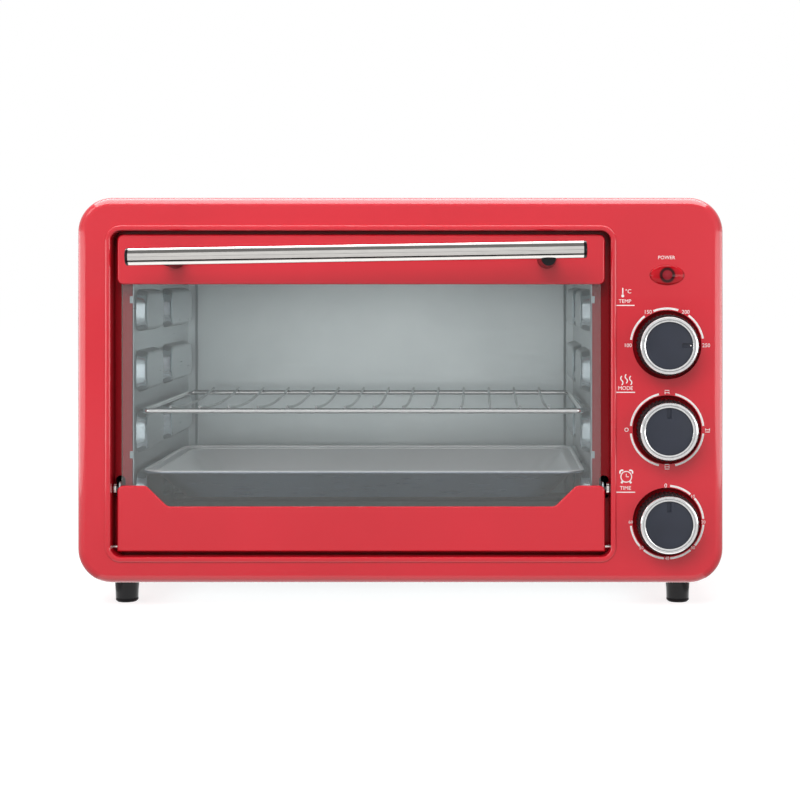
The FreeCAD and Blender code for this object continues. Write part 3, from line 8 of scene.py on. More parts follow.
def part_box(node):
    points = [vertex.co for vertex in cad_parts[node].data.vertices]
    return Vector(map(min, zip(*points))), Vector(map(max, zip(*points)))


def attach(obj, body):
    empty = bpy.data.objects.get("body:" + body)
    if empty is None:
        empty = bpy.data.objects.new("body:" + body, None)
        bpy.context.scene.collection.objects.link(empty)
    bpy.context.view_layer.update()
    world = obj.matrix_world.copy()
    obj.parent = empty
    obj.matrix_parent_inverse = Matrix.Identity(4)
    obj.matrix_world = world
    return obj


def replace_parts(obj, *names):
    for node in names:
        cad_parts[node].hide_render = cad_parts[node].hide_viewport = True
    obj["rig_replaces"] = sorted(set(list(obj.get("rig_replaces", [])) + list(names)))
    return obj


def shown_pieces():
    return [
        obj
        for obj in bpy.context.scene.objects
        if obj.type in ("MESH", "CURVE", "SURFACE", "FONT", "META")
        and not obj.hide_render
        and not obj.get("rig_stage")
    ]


# Countertop electric oven: the looks of its pieces and the studio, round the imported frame.
# Sizes of the oven are in millimetres and become metres through mm() or MM. The studio is in metres.

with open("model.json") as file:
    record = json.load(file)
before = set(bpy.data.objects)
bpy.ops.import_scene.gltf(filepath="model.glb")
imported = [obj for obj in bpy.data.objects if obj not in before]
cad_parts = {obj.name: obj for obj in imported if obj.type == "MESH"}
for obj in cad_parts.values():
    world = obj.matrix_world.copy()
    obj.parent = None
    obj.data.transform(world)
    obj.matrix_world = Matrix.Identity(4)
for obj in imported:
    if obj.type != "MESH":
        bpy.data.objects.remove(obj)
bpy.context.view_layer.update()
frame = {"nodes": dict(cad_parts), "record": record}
record = frame["record"]
slot_of = {part["node"]: part["material_slot"] for part in record["subparts"]}
body_of = {node: body for body, nodes in record["behaviour"]["bodies"].items() for node in nodes}
joint_of = {joint["child"]: joint for joint in record["behaviour"]["joints"]}

MM = 0.001
PER_METRE = 1000
BOTH_SIDES = (-1, 1)

# Places worked out from the frame
FACE_STEP = 4.0
FACE_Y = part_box("door_top_rail")[0].y * PER_METRE - FACE_STEP
KNOB_PLACE = {name: joint_of[name + "_knob"]["pos_m"] for name in ("thermostat", "selector", "timer")}
KNOB_X = KNOB_PLACE["timer"][0] * PER_METRE
KNOB_BASE = KNOB_PLACE["timer"][1] * PER_METRE
KNOB_Z = {name: place[2] * PER_METRE for name, place in KNOB_PLACE.items()}
LENS_LOW, LENS_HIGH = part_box("lamp_lens")
LAMP_Z = (LENS_LOW.z + LENS_HIGH.z) / 2 * PER_METRE


def mm(*values):
    """A vector in metres from lengths in millimetres."""
    return Vector([value * MM for value in values])


# Finishes

# Noise seldom leaves this range, so what follows a noise starts and ends here.
CLOUD_LOW = 0.3
CLOUD_HIGH = 0.7
SHADE = 0.82
FLAKE_SHARE = 0.22
SHEET_RELIEF = 0.05
# Where the enamel's painted shade of recesses begins and where it is full, on the shade attribute's scale
RECESS_SHADE_START = 0.02
RECESS_SHADE_FULL = 0.8
LENS_REACH = 13.0


class Tree:
    """A node tree, with short ways to add its nodes and join them."""

    def __init__(self, tree):
        self.tree = tree

    def feed(self, value, socket):
        """Lead an output into a socket, or set the socket to a plain value."""
        if isinstance(value, bpy.types.NodeSocket):
            self.tree.links.new(value, socket)
        else:
            socket.default_value = value

    def node(self, kind, **inputs):
        """A new node, its inputs given by name with _ for a blank."""
        made = self.tree.nodes.new("ShaderNode" + kind)
        for key, value in inputs.items():
            self.feed(value, made.inputs[key.replace("_", " ")])
        return made

    def arithmetic(self, operation, *values):
        """A Math node over outputs and plain numbers."""
        made = self.node("Math")
        made.operation = operation
        for socket, value in zip(made.inputs, values):
            self.feed(value, socket)
        return made.outputs[0]

    def between(self, value, low, high, start=0.0, end=1.0):
        """A value moved from the range start to end into the range low to high."""
        spread = self.node("MapRange")
        for socket, number in zip(spread.inputs, (value, start, end, low, high)):
            self.feed(number, socket)
        return spread.outputs[0]


class Finish(Tree):
    """A material with one Principled shader, and the patterns that the oven's finishes share."""

    def __init__(self, name):
        self.material = bpy.data.materials.new(name)
        self.material.use_nodes = True
        super().__init__(self.material.node_tree)
        self.shader = self.tree.nodes["Principled BSDF"]

    def set(self, **inputs):
        """Give the shader its outputs and plain values, by name with _ for a blank."""
        for key, value in inputs.items():
            self.feed(value, self.shader.inputs[key.replace("_", " ")])

    def coordinates(self, stretch=(1, 1, 1), shift=(0, 0, 0)):
        """Object coordinates, stretched and then shifted."""
        place = self.node("TexCoord").outputs["Object"]
        return self.node("Mapping", Vector=place, Location=shift, Scale=stretch).outputs[0]

    def noise(self, scale, detail, rough, stretch=(1, 1, 1)):
        """Soft clouds, or lines where they are stretched."""
        made = self.node("TexNoise", Vector=self.coordinates(stretch), Scale=scale, Detail=detail,
                         Roughness=rough)
        return made.outputs["Fac"]

    def ramp(self, value, stops):
        """A colour ramp over a value, from pairs of a place and a colour."""
        made = self.node("ValToRGB", Fac=value)
        band = made.color_ramp
        while len(band.elements) < len(stops):
            band.elements.new(0.5)
        for element, (place, colour) in zip(band.elements, stops):
            element.position = place
            element.color = (*colour, 1)
        return made.outputs["Color"]

    def clouded(self, value, dark, light):
        """A colour that drifts between two shades with a noise."""
        return self.ramp(value, [(CLOUD_LOW, dark), (CLOUD_HIGH, light)])

    def varied(self, value, low, high):
        """A number that drifts between two values with a noise."""
        return self.between(value, low, high, CLOUD_LOW, CLOUD_HIGH)

    def mix(self, share, first, second):
        """Two colours, of which the second has the given share."""
        made = self.node("Mix")
        made.data_type = "RGBA"
        for key, value in (("Factor", share), ("A", first), ("B", second)):
            self.feed(value, made.inputs[key])
        return made.outputs["Result"]

    def ripple(self, value, depth, strength):
        """Fine relief of a given depth in millimetres."""
        bump = self.node("Bump", Strength=strength, Distance=depth * MM, Height=value)
        self.set(Normal=bump.outputs["Normal"])


def shaded(colour):
    """The darker shade that a colour drifts to."""
    return tuple(part * SHADE for part in colour)


def red_enamel():
    """Gloss crimson enamel, with painted shade: darker and duller where the sheet turns into a deep hollow.
    """
    enamel = Finish("red_enamel")
    peel = enamel.noise(420.0, 2.0, 0.45)
    cloud = enamel.noise(7.0, 3.0, 0.5)
    # Painted shade: an attribute that grows with depth behind the face turns the colour to dark red and
    # fades the coat and specular, standing in for the shade in the recesses.
    recess_shade = enamel.node("Attribute")
    recess_shade.attribute_name = "recess_shade"
    depth = enamel.between(recess_shade.outputs["Fac"], 0.0, 1.0, RECESS_SHADE_START, RECESS_SHADE_FULL)
    open_red = enamel.clouded(cloud, (0.60, 0.010, 0.023), (0.65, 0.012, 0.028))
    enamel.set(Base_Color=enamel.mix(depth, open_red, (0.25, 0.003, 0.007, 1)),
               Roughness=enamel.varied(cloud, 0.20, 0.27),
               Coat_Weight=enamel.between(depth, 0.5, 0.0), Coat_Roughness=0.05,
               Specular_IOR_Level=enamel.between(depth, 0.35, 0.04))
    enamel.ripple(peel, 0.03, 0.3)
    return enamel.material


def galvanised_sheet(name, light, dark, rough, relief=0.0, metallic=0.82):
    """Zinc-coated sheet: soft crystals, faint rolling lines and clouds."""
    sheet = Finish(name)
    flakes = sheet.node("TexVoronoi", Vector=sheet.coordinates(), Scale=90.0, Randomness=1.0)
    cloud = sheet.noise(14.0, 6.0, 0.6)
    lines = sheet.noise(30.0, 4.0, 0.6, stretch=(1, 1, 26))
    crystals = sheet.ramp(flakes.outputs["Color"], [(0.0, dark), (1.0, light)])
    sheet.set(Base_Color=sheet.mix(FLAKE_SHARE, sheet.clouded(cloud, dark, light), crystals),
              Roughness=sheet.varied(lines, *rough), Metallic=metallic)
    sheet.ripple(cloud, SHEET_RELIEF, relief)
    return sheet.material


def steel(name, colour, rough, stretch=(6, 6, 6), depth=0.0, metallic=1.0):
    """Polished steel, brushed along the axis whose coordinates are stretched least."""
    metal = Finish(name)
    lines = metal.noise(60.0, 5.0, 0.7, stretch)
    metal.set(Base_Color=metal.clouded(lines, shaded(colour), colour),
              Roughness=metal.varied(lines, rough * 0.7, rough * 1.35), Metallic=metallic)
    metal.ripple(lines, depth, 0.3)
    return metal.material


def moulding(name, colour, rough, grain=900.0, depth=0.02, shine=0.5):
    """Moulded plastic, glass or ceramic with a fine grain."""
    plastic = Finish(name)
    pits = plastic.noise(grain, 2.0, 0.5)
    cloud = plastic.noise(60.0, 3.0, 0.5)
    plastic.set(Base_Color=plastic.clouded(cloud, shaded(colour), colour),
                Roughness=plastic.varied(cloud, rough * 0.8, rough * 1.2), Specular_IOR_Level=shine)
    plastic.ripple(pits, depth, 0.4)
    return plastic.material


def door_pane():
    """A thin pane: nearly clear, a little milky, more reflective at a flat angle."""
    glass = Finish("clear_glass")
    haze = glass.noise(5.0, 2.0, 0.5)
    sheen = glass.node("Fresnel", IOR=1.5).outputs["Fac"]
    glass.set(Base_Color=glass.clouded(haze, (0.76, 0.82, 0.82), (0.84, 0.88, 0.88)),
              Alpha=glass.between(sheen, low=0.075, high=0.80, start=0.05, end=0.6),
              Roughness=0.02, Specular_IOR_Level=0.7)
    return glass.material


def pane_edge():
    """The ground edge of the pane, green as float glass is."""
    glass = Finish("glass_edge")
    cloud = glass.noise(120.0, 2.0, 0.5)
    green = glass.clouded(cloud, (0.14, 0.30, 0.26), (0.20, 0.40, 0.34))
    glass.set(Base_Color=green, Roughness=0.25, Alpha=0.85)
    return glass.material


def lens_plastic(centre):
    """Deep red moulding over a round seat, whose dark rim shows through as a ring; its outermost edge is
    painted darker as shade.
    """
    lens = Finish("red_lens")
    flat = lens.coordinates((PER_METRE, 0, PER_METRE), (-centre.x * PER_METRE, 0, -centre.z * PER_METRE))
    reach = lens.node("VectorMath")
    reach.operation = "LENGTH"
    lens.feed(flat, reach.inputs[0])
    share = lens.between(reach.outputs["Value"], 0.0, 1.0, 0.0, LENS_REACH)
    # The last band darkens the lens's outermost edge: painted shade.
    bands = lens.ramp(share, [(0.0, (0.30, 0.020, 0.032)), (0.25, (0.26, 0.008, 0.016)),
                              (0.31, (0.030, 0.001, 0.002)), (0.41, (0.040, 0.001, 0.002)),
                              (0.49, (0.42, 0.002, 0.009)), (0.86, (0.55, 0.003, 0.012)),
                              (1.0, (0.22, 0.001, 0.004))])
    lens.set(Base_Color=bands, Roughness=0.08, Specular_IOR_Level=0.2)
    return lens.material


def printed_ink():
    """White print, a little worn."""
    ink = Finish("white_print")
    wear = ink.noise(700.0, 2.0, 0.6)
    white = ink.ramp(wear, [(0.25, (0.78, 0.74, 0.73)), (0.6, (0.93, 0.91, 0.90))])
    ink.set(Base_Color=white, Roughness=0.45)
    return ink.material


# One finish for each material slot of the record
FINISHES = {
    "red_enamel": red_enamel(),
    "galvanised": galvanised_sheet("galvanised", (0.52, 0.60, 0.61), (0.40, 0.465, 0.475), (0.32, 0.46),
                                   relief=0.2),
    "bright_steel": steel("bright_steel", (0.70, 0.68, 0.655), 0.11, stretch=(1, 20, 20), depth=0.006),
    "chrome": steel("chrome", (0.80, 0.80, 0.80), 0.10),
    # The tray's outside, much darker than its inside copy below: painted shade.
    "tray_steel": galvanised_sheet("tray_steel", (0.375, 0.42, 0.50), (0.32, 0.36, 0.43), (0.26, 0.34),
                                   relief=0.05),
    "clear_glass": door_pane(),
    "black_plastic": moulding("black_plastic", (0.008, 0.008, 0.010), 0.20, shine=0.2),
    "slate_plastic": moulding("slate_plastic", (0.024, 0.028, 0.042), 0.46, grain=1500.0, shine=0.32),
    "red_lens": lens_plastic((LENS_LOW + LENS_HIGH) / 2),
    "neon_glass": moulding("neon_glass", (0.75, 0.42, 0.36), 0.2),
    "heater_steel": steel("heater_steel", (0.30, 0.29, 0.28), 0.42, stretch=(1, 8, 8), depth=0.02,
                          metallic=0.9),
    "ceramic": moulding("ceramic", (0.80, 0.78, 0.73), 0.55, grain=500.0, depth=0.05),
    "spring_steel": steel("spring_steel", (0.55, 0.55, 0.56), 0.3, stretch=(4, 4, 4), depth=0.01),
}

# Finishes of single pieces and faces
INK = printed_ink()
KNURL = moulding("knurled_plastic", (0.008, 0.008, 0.009), 0.45, shine=0.22)
# A darker copy of the galvanised sheet for the side walls (painted shade), and a much lighter one for the
# front slopes of their pads (painted highlight).
SHADED_WALL_SHEET = galvanised_sheet("pressed_wall", (0.34, 0.39, 0.41), (0.305, 0.355, 0.375), (0.27, 0.33),
                                metallic=0.92)
PAD_SLOPE_HIGHLIGHT = galvanised_sheet("pad_slope_highlight", (0.84, 0.95, 1.0), (0.78, 0.90, 0.96), (0.18, 0.24),
                             metallic=0.85)
# A lighter copy of the galvanised sheet for the back wall: painted light.
LIT_BACK_SHEET = galvanised_sheet("back_sheet_lit", (0.80, 0.88, 0.885), (0.71, 0.79, 0.80), (0.34, 0.44),
                              relief=0.1, metallic=0.7)
# A much lighter copy of the tray's sheet for its inside and rim: painted light.
LIT_TRAY_INSIDE = galvanised_sheet("tray_inside_lit", (0.98, 0.99, 1.0), (0.93, 0.95, 0.96), (0.30, 0.36),
                               metallic=0.25)
GLASS_EDGE = pane_edge()
# A dark steel for the thin rack wires, darker than the rack's own metal: painted shade.
SHADED_RACK_WIRE = steel("rack_wire", (0.32, 0.34, 0.35), 0.22)
# Darker steel for the groove in the knob rings: painted shade.
GROOVE_SHADE = steel("ring_groove_shade", (0.38, 0.38, 0.39), 0.35)
# A dark steel for the arm rivets in the shaded throat: painted shade.
SHADED_RIVET_STEEL = steel("shaded_rivet_steel", (0.12, 0.12, 0.125), 0.30)


# Pieces made from the CAD pieces

# Gaps under which points become one
MERGE_GAP = 0.002
SEAM_GAP = 0.001
LATHE_GAP = 0.0005

# Angles in degrees: what counts as flat, as a crease and as an edge to soften
FLAT_ANGLE = 0.2
CREASE = 30.0
WALL_CREASE = 34.0
CREST_ANGLE = 20
SOFT_EDGE_ANGLE = 40
SOFT_EDGE_SEGMENTS = 2

# How much of a face's normal lies along an axis
ALONG = 0.99
ACROSS = 0.5
SLOPE_LEAST = 0.3
SLOPE_MOST = 0.96
TRAY_UPWARD = 0.35

# The front frame: its plain rim, the reach of its dishes, and the depths where the painted shade in its
# recesses is darkest
FRAME_RIM = 12.0
DISH_REACH = 40
DISH_DEPTH = 4.0
WALL_DEPTH = 12.0
FLANGE_DEPTH = 30.0

# Crests of the pads, their least area in square metres, and the rounding of the rails
CREST_AREA = 0.0004
CREST_TOUCH = 0.1
CREST_ROUND = 2.2
CREST_SEGMENTS = 4
RAIL_ROUND = 0.25
ROUNDED = {"door_top_rail": RAIL_ROUND, "door_bottom_rail": RAIL_ROUND}


def keep(name, work, material, body, nodes=(), crease=CREASE, weighted=True):
    """Make an object from a bmesh, give it its finish and let it ride on its body."""
    for face in work.faces:
        face.smooth = True
    for edge in work.edges:
        edge.smooth = len(edge.link_faces) == 2 and edge.calc_face_angle() < math.radians(crease)
    mesh = bpy.data.meshes.new(name)
    work.to_mesh(mesh)
    work.free()
    mesh.materials.append(material)
    piece = bpy.data.objects.new(name, mesh)
    bpy.context.scene.collection.objects.link(piece)
    if weighted:
        normals = piece.modifiers.new("even_normals", "WEIGHTED_NORMAL")
        normals.keep_sharp = True
    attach(piece, body)
    if nodes:
        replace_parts(piece, *nodes)
    return piece


def merged_copy(node):
    """A CAD piece's mesh with its loose triangles merged and its flat faces whole."""
    work = bmesh.new()
    work.from_mesh(frame["nodes"][node].data)
    bmesh.ops.remove_doubles(work, verts=work.verts, dist=MERGE_GAP * MM)
    bmesh.ops.dissolve_limit(work, angle_limit=math.radians(FLAT_ANGLE), verts=work.verts, edges=work.edges)
    return work


def smooth_node(node, material=None, crease=CREASE, edge_round=0.0):
    """A CAD piece with even shading and, where asked, softened sharp edges."""
    slot = slot_of[node]
    finish = material or FINISHES[slot]
    piece = keep(node + "_finish", merged_copy(node), finish, body_of[node], [node], crease)
    if edge_round:
        bevel = piece.modifiers.new("soft_edges", "BEVEL")
        bevel.width = edge_round * MM
        bevel.segments = SOFT_EDGE_SEGMENTS
        bevel.limit_method = "ANGLE"
        bevel.angle_limit = math.radians(SOFT_EDGE_ANGLE)
        bevel.harden_normals = False
        piece.modifiers.move(1, 0)


def pressed_front():
    """The front frame, with the walls of its opening and dishes marked by their depth for the enamel's
    painted shade.
    """
    work = merged_copy("front_frame")
    # Each corner gets a share of painted shade by its depth behind the face.
    recess_shade = work.loops.layers.float.new("recess_shade")
    low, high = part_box("front_frame")
    for face in work.faces:
        middle = face.calc_center_median()
        rim = min(middle.x - low.x, high.x - middle.x, middle.z - low.z, high.z - middle.z)
        if rim <= FRAME_RIM * MM:
            continue
        if middle.x * PER_METRE > KNOB_X - DISH_REACH:
            full_depth = DISH_DEPTH
        elif abs(face.normal.y) < ACROSS:
            full_depth = WALL_DEPTH
        else:
            full_depth = FLANGE_DEPTH
        for loop in face.loops:
            depth = loop.vert.co.y * PER_METRE - FACE_Y
            loop[recess_shade] = min(1.0, max(0.0, depth / full_depth))
    keep("front_frame_finish", work, FINISHES["red_enamel"], "chassis", ["front_frame"])


def pressed_wall(side):
    """A side wall of the cavity, with softly rounded crests, darker than the other sheet as painted shade,
    and a painted highlight on the front slopes of its pads.
    """
    node = "cavity_%s_wall" % side
    work = merged_copy(node)
    flats = [face for face in work.faces if face.calc_area() > CREST_AREA and abs(face.normal.x) > ALONG]
    innermost = max if side == "left" else min
    crest = innermost(face.calc_center_median().x for face in flats)
    edges = [edge for edge in work.edges if len(edge.link_faces) == 2
             and all(abs(vert.co.x - crest) < CREST_TOUCH * MM for vert in edge.verts)
             and edge.calc_face_angle() > math.radians(CREST_ANGLE)]
    bmesh.ops.bevel(work, geom=edges, affect="EDGES", offset=CREST_ROUND * MM, segments=CREST_SEGMENTS,
                    profile=0.5, material=-1)
    # Faces that slope towards the front get the lighter copy: a painted highlight.
    for face in work.faces:
        if -SLOPE_MOST < face.normal.y < -SLOPE_LEAST and abs(face.normal.z) < ACROSS:
            face.material_index = 1
    piece = keep(node + "_finish", work, SHADED_WALL_SHEET, body_of[node], [node], WALL_CREASE)
    piece.data.materials.append(PAD_SLOPE_HIGHLIGHT)


def pane():
    """The door glass, green on the edges of its sides and holes."""
    work = merged_copy("door_glass")
    for face in work.faces:
        if abs(face.normal.y) < ACROSS:
            face.material_index = 1
    piece = keep("door_glass_finish", work, FINISHES["clear_glass"], body_of["door_glass"],
                 ["door_glass"])
    piece.data.materials.append(GLASS_EDGE)


def baking_tray():
    """The tray, lighter inside and on its rim as painted light, darker outside as painted shade."""
    work = merged_copy("baking_tray")
    low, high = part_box("baking_tray")
    middle = (low + high) / 2
    # Faces that look up or inwards get the lighter copy: painted light.
    for face in work.faces:
        inward = middle - face.calc_center_median()
        inward.z = 0
        if face.normal.z > TRAY_UPWARD or face.normal.dot(inward) > 0:
            face.material_index = 1
    slot = slot_of["baking_tray"]
    piece = keep("baking_tray_finish", work, FINISHES[slot], body_of["baking_tray"], ["baking_tray"])
    piece.data.materials.append(LIT_TRAY_INSIDE)


def lathe(points, steps):
    """Spin an outline of (radius, height) in millimetres once round the Z axis."""
    work = bmesh.new()
    spots = [work.verts.new(mm(radius, 0, height)) for radius, height in points]
    for first, second in zip(spots, spots[1:]):
        work.edges.new((first, second))
    bmesh.ops.spin(work, geom=work.verts[:] + work.edges[:], cent=(0, 0, 0), axis=(0, 0, 1),
                   angle=math.radians(360), steps=steps, use_merge=True, use_duplicate=False)
    bmesh.ops.remove_doubles(work, verts=work.verts, dist=LATHE_GAP * MM)
    bmesh.ops.recalc_face_normals(work, faces=work.faces)
    return work


def front_lathe(points, centre, steps):
    """A lathed piece on the front, its heights counted forwards from its centre."""
    work = lathe(points, steps)
    place = Matrix.Translation(mm(*centre)) @ Matrix.Rotation(math.radians(90), 4, "X")
    bmesh.ops.transform(work, matrix=place, verts=work.verts)
    return work


# Printed scales and signs on the front

PRINT_RISE = 0.05
PRINT_SEAT = 0.005
SCALE_RADIUS = 27.1
SCALE_WIDTH = 1.5
PRINT_CREASE = 20.0
ARC_STEP = 4
ARC_LEAST_STEPS = 4
DOT_STEPS = 16
TEXT_STEPS = 3

# Arcs in degrees clockwise from the top, and numbers with their place beside the knob's middle
THERMOSTAT_ARCS = ((-82, -38), (-22, 18), (36, 80))
THERMOSTAT_NUMBERS = (("100", -29.2, -0.5), ("150", -14.3, 24.4), ("200", 13.9, 24.4), ("250", 29.2, -0.5))
THERMOSTAT_NUMBER_SIZE = 4.0
SELECTOR_ARCS = ((13, 84), (96, 167), (193, 264), (276, 347))
SELECTOR_SIGNS = (("upper", 0, 27.6, (1,)), ("lower", 30.2, 0, (-1,)), ("both", 0, -27.6, (1, -1)),
                  ("none", -30.2, 0, ()))
TIMER_ARCS = ((5, 40), (49, 85), (94, 130), (140, 175), (185, 220), (229, 264))
TIMER_ZERO_SHIFT = 1.0
TIMER_ZERO_SIZE = 4.4
TIMER_NUMBER_SIZE = 3.3
TIMER_STEPS = 6
TIMER_STEP_MINUTES = 10
TIMER_STEP_TURN = 45

# The signs over the knobs: where each stands, and the word and rule under it
THERMOMETER_X = 167.6
THERMOMETER_RISE = 38.9
STEAM_X = 168.6
STEAM_RISE = 37.3
CLOCK_X = 168.6
CLOCK_RISE = 33.8
LABELS = (
    ("heat", "TEMP", 167.6, KNOB_Z["thermostat"] + 32.4),
    ("mode", "MODE", 168.0, KNOB_Z["selector"] + 30.9),
    ("time", "TIME", 168.0, KNOB_Z["timer"] + 25.3),
)
LABEL_SIZE = 3.9
RULE_DROP = 3.0
RULE_WIDTH = 14.4
RULE_HEIGHT = 0.7
POWER_X = 198.6
POWER_RISE = 12.9
POWER_SIZE = 3.7


def flat_print(work, name):
    """Turn a flat figure drawn in X and Z into a printed piece on the front face."""
    bmesh.ops.recalc_face_normals(work, faces=work.faces)
    out = bmesh.ops.extrude_face_region(work, geom=work.faces[:])
    moved = [item for item in out["geom"] if isinstance(item, bmesh.types.BMVert)]
    bmesh.ops.translate(work, vec=mm(0, -PRINT_RISE, 0), verts=moved)
    bmesh.ops.recalc_face_normals(work, faces=work.faces)
    bmesh.ops.translate(work, vec=mm(0, FACE_Y + PRINT_SEAT, 0), verts=work.verts)
    keep(name, work, INK, "chassis", crease=PRINT_CREASE, weighted=False)


def add_arc(work, x, z, radius, width, start=0, end=360):
    """A band of a circle, or a whole ring; angles in degrees clockwise from the top."""
    spots = [work.verts.new(mm(x, 0, z + reach)) for reach in (radius - width / 2, radius + width / 2)]
    edge = work.edges.new(spots)
    place = Matrix.Translation(mm(x, 0, z))
    turn = Matrix.Rotation(math.radians(start), 4, "Y")
    bmesh.ops.transform(work, matrix=place @ turn @ place.inverted(), verts=spots)
    steps = max(ARC_LEAST_STEPS, int(abs(end - start) / ARC_STEP))
    bmesh.ops.spin(work, geom=spots + [edge], cent=mm(x, 0, z), axis=(0, 1, 0),
                   angle=math.radians(end - start), steps=steps, use_merge=False, use_duplicate=False)


def close_seams(work):
    """Merge the points that lie on each other, such as the two ends of a ring."""
    bmesh.ops.remove_doubles(work, verts=work.verts, dist=SEAM_GAP * MM)


def add_bar(work, x, z, width, height, turn=0.0):
    """A bar by its middle, width and height, turned clockwise by an angle in degrees."""
    out = bmesh.ops.create_grid(work, x_segments=1, y_segments=1, size=0.5)
    upright = Matrix.Rotation(math.radians(90), 4, "X") @ Matrix.Diagonal((width * MM, height * MM, 1, 1))
    place = Matrix.Translation(mm(x, 0, z)) @ Matrix.Rotation(math.radians(turn), 4, "Y")
    bmesh.ops.transform(work, matrix=place @ upright, verts=out["verts"])


def add_dot(work, x, z, radius):
    """A filled round dot."""
    out = bmesh.ops.create_circle(work, cap_ends=True, segments=DOT_STEPS, radius=radius * MM)
    place = Matrix.Translation(mm(x, 0, z)) @ Matrix.Rotation(math.radians(90), 4, "X")
    bmesh.ops.transform(work, matrix=place, verts=out["verts"])


def print_text(text, x, z, size, name):
    """A printed number or plain word, centred on a point of the front."""
    curve = bpy.data.curves.new(name, "FONT")
    curve.body = text
    curve.size = size * MM
    curve.align_x = "CENTER"
    curve.align_y = "CENTER"
    curve.resolution_u = TEXT_STEPS
    drawn = bpy.data.objects.new(name, curve)
    bpy.context.scene.collection.objects.link(drawn)
    bpy.context.view_layer.update()
    mesh = bpy.data.meshes.new_from_object(drawn.evaluated_get(bpy.context.evaluated_depsgraph_get()))
    bpy.data.objects.remove(drawn)
    work = bmesh.new()
    work.from_mesh(mesh)
    bpy.data.meshes.remove(mesh)
    close_seams(work)
    place = Matrix.Translation(mm(x, 0, z)) @ Matrix.Rotation(math.radians(90), 4, "X")
    bmesh.ops.transform(work, matrix=place, verts=work.verts)
    flat_print(work, name)


def print_scale(name, arcs):
    """The broken ring round a knob."""
    work = bmesh.new()
    for start, end in arcs:
        add_arc(work, KNOB_X, KNOB_Z[name], SCALE_RADIUS, SCALE_WIDTH, start, end)
    flat_print(work, name + "_scale")


# A heating sign: the tray's ends and floor, the line for the heat, and the ring for off
END_SHIFT = 1.5
END_HEIGHT = 2.0
FLOOR_WIDTH = 2.6
TRAY_STROKE = 0.4
HEAT_SHIFT = 1.7
HEAT_WIDTH = 3.4
HEAT_STROKE = 0.5
OFF_RADIUS = 1.3
OFF_STROKE = 0.45


def heating_sign(name, x, z, lines):
    """A tray with a line on each side that heat comes from, or an empty ring for off."""
    work = bmesh.new()
    if lines:
        for side in BOTH_SIDES:
            add_bar(work, x + side * END_SHIFT, z, TRAY_STROKE, END_HEIGHT)
        add_bar(work, x, z, FLOOR_WIDTH, TRAY_STROKE)
        for side in lines:
            add_bar(work, x, z + side * HEAT_SHIFT, HEAT_WIDTH, HEAT_STROKE)
    else:
        add_arc(work, x, z, OFF_RADIUS, OFF_STROKE)
        close_seams(work)
    flat_print(work, "selector_sign_" + name)


def scales():
    """The three scales, with the thermostat's and timer's numbers and the selector's signs."""
    print_scale("thermostat", THERMOSTAT_ARCS)
    for text, shift, rise in THERMOSTAT_NUMBERS:
        print_text(text, KNOB_X + shift, KNOB_Z["thermostat"] + rise, THERMOSTAT_NUMBER_SIZE,
                   "thermostat_number_" + text)
    print_scale("selector", SELECTOR_ARCS)
    for name, shift, rise, lines in SELECTOR_SIGNS:
        heating_sign(name, KNOB_X + shift, KNOB_Z["selector"] + rise, lines)
    print_scale("timer", TIMER_ARCS)
    z = KNOB_Z["timer"]
    print_text("0", KNOB_X - TIMER_ZERO_SHIFT, z + SCALE_RADIUS, TIMER_ZERO_SIZE, "timer_number_0")
    for step in range(1, TIMER_STEPS + 1):
        turn = math.radians(TIMER_STEP_TURN * step)
        text = str(TIMER_STEP_MINUTES * step)
        print_text(text, KNOB_X + SCALE_RADIUS * math.sin(turn), z + SCALE_RADIUS * math.cos(turn),
                   TIMER_NUMBER_SIZE, "timer_number_" + text)


# The thermometer's stem and bulb stand left of its middle, the sign of degrees right of it.
STEM_SHIFT = 1.6
STEM_RISE = 0.9
STEM_WIDTH = 0.8
STEM_HEIGHT = 5.2
BULB_DROP = 2.4
BULB_RADIUS = 1.1
DEGREE_SHIFT = 2.5
DEGREE_RISE = 0.8
DEGREE_SIZE = 4.3


def thermometer_sign(x, z):
    """A thermometer and the sign of degrees."""
    work = bmesh.new()
    add_bar(work, x - STEM_SHIFT, z + STEM_RISE, STEM_WIDTH, STEM_HEIGHT)
    add_dot(work, x - STEM_SHIFT, z - BULB_DROP, BULB_RADIUS)
    flat_print(work, "thermometer_sign")
    print_text("°C", x + DEGREE_SHIFT, z + DEGREE_RISE, DEGREE_SIZE, "degree_sign")


# Steam: the place and rise of each strand, and the side and direction of its two curls
STRANDS = ((-1, -0.6), (0, 0.7), (1, -0.6))
STRAND_GAP = 3.3
CURLS = ((1, 270), (-1, 90))
CURL_SHIFT = 1.25
CURL_RISE = 1.6
CURL_RADIUS = 2.05
CURL_STROKE = 0.8
CURL_REACH = 54


def steam_sign(x, z):
    """Three rising strands, each of two arcs that make an S."""
    work = bmesh.new()
    for step, rise in STRANDS:
        for side, turn in CURLS:
            middle = (x + step * STRAND_GAP + side * CURL_SHIFT, z + rise + side * CURL_RISE)
            add_arc(work, *middle, CURL_RADIUS, CURL_STROKE, turn - CURL_REACH, turn + CURL_REACH)
    flat_print(work, "steam_sign")


# The clock's case, legs, bells and hands
CASE_RADIUS = 4.0
CASE_STROKE = 0.7
LEG_SHIFT = 3.1
LEG_DROP = 4.0
LEG_WIDTH = 1.5
LEG_HEIGHT = 1.9
LEG_TURN = -40
BELL_SHIFT = 3.2
BELL_RISE = 3.4
BELL_RADIUS = 1.5
BELL_STROKE = 1.1
BELL_TURN = 45
BELL_REACH = 85
HAND_STROKE = 0.45
LONG_HAND = 2.2
SHORT_HAND = 1.8


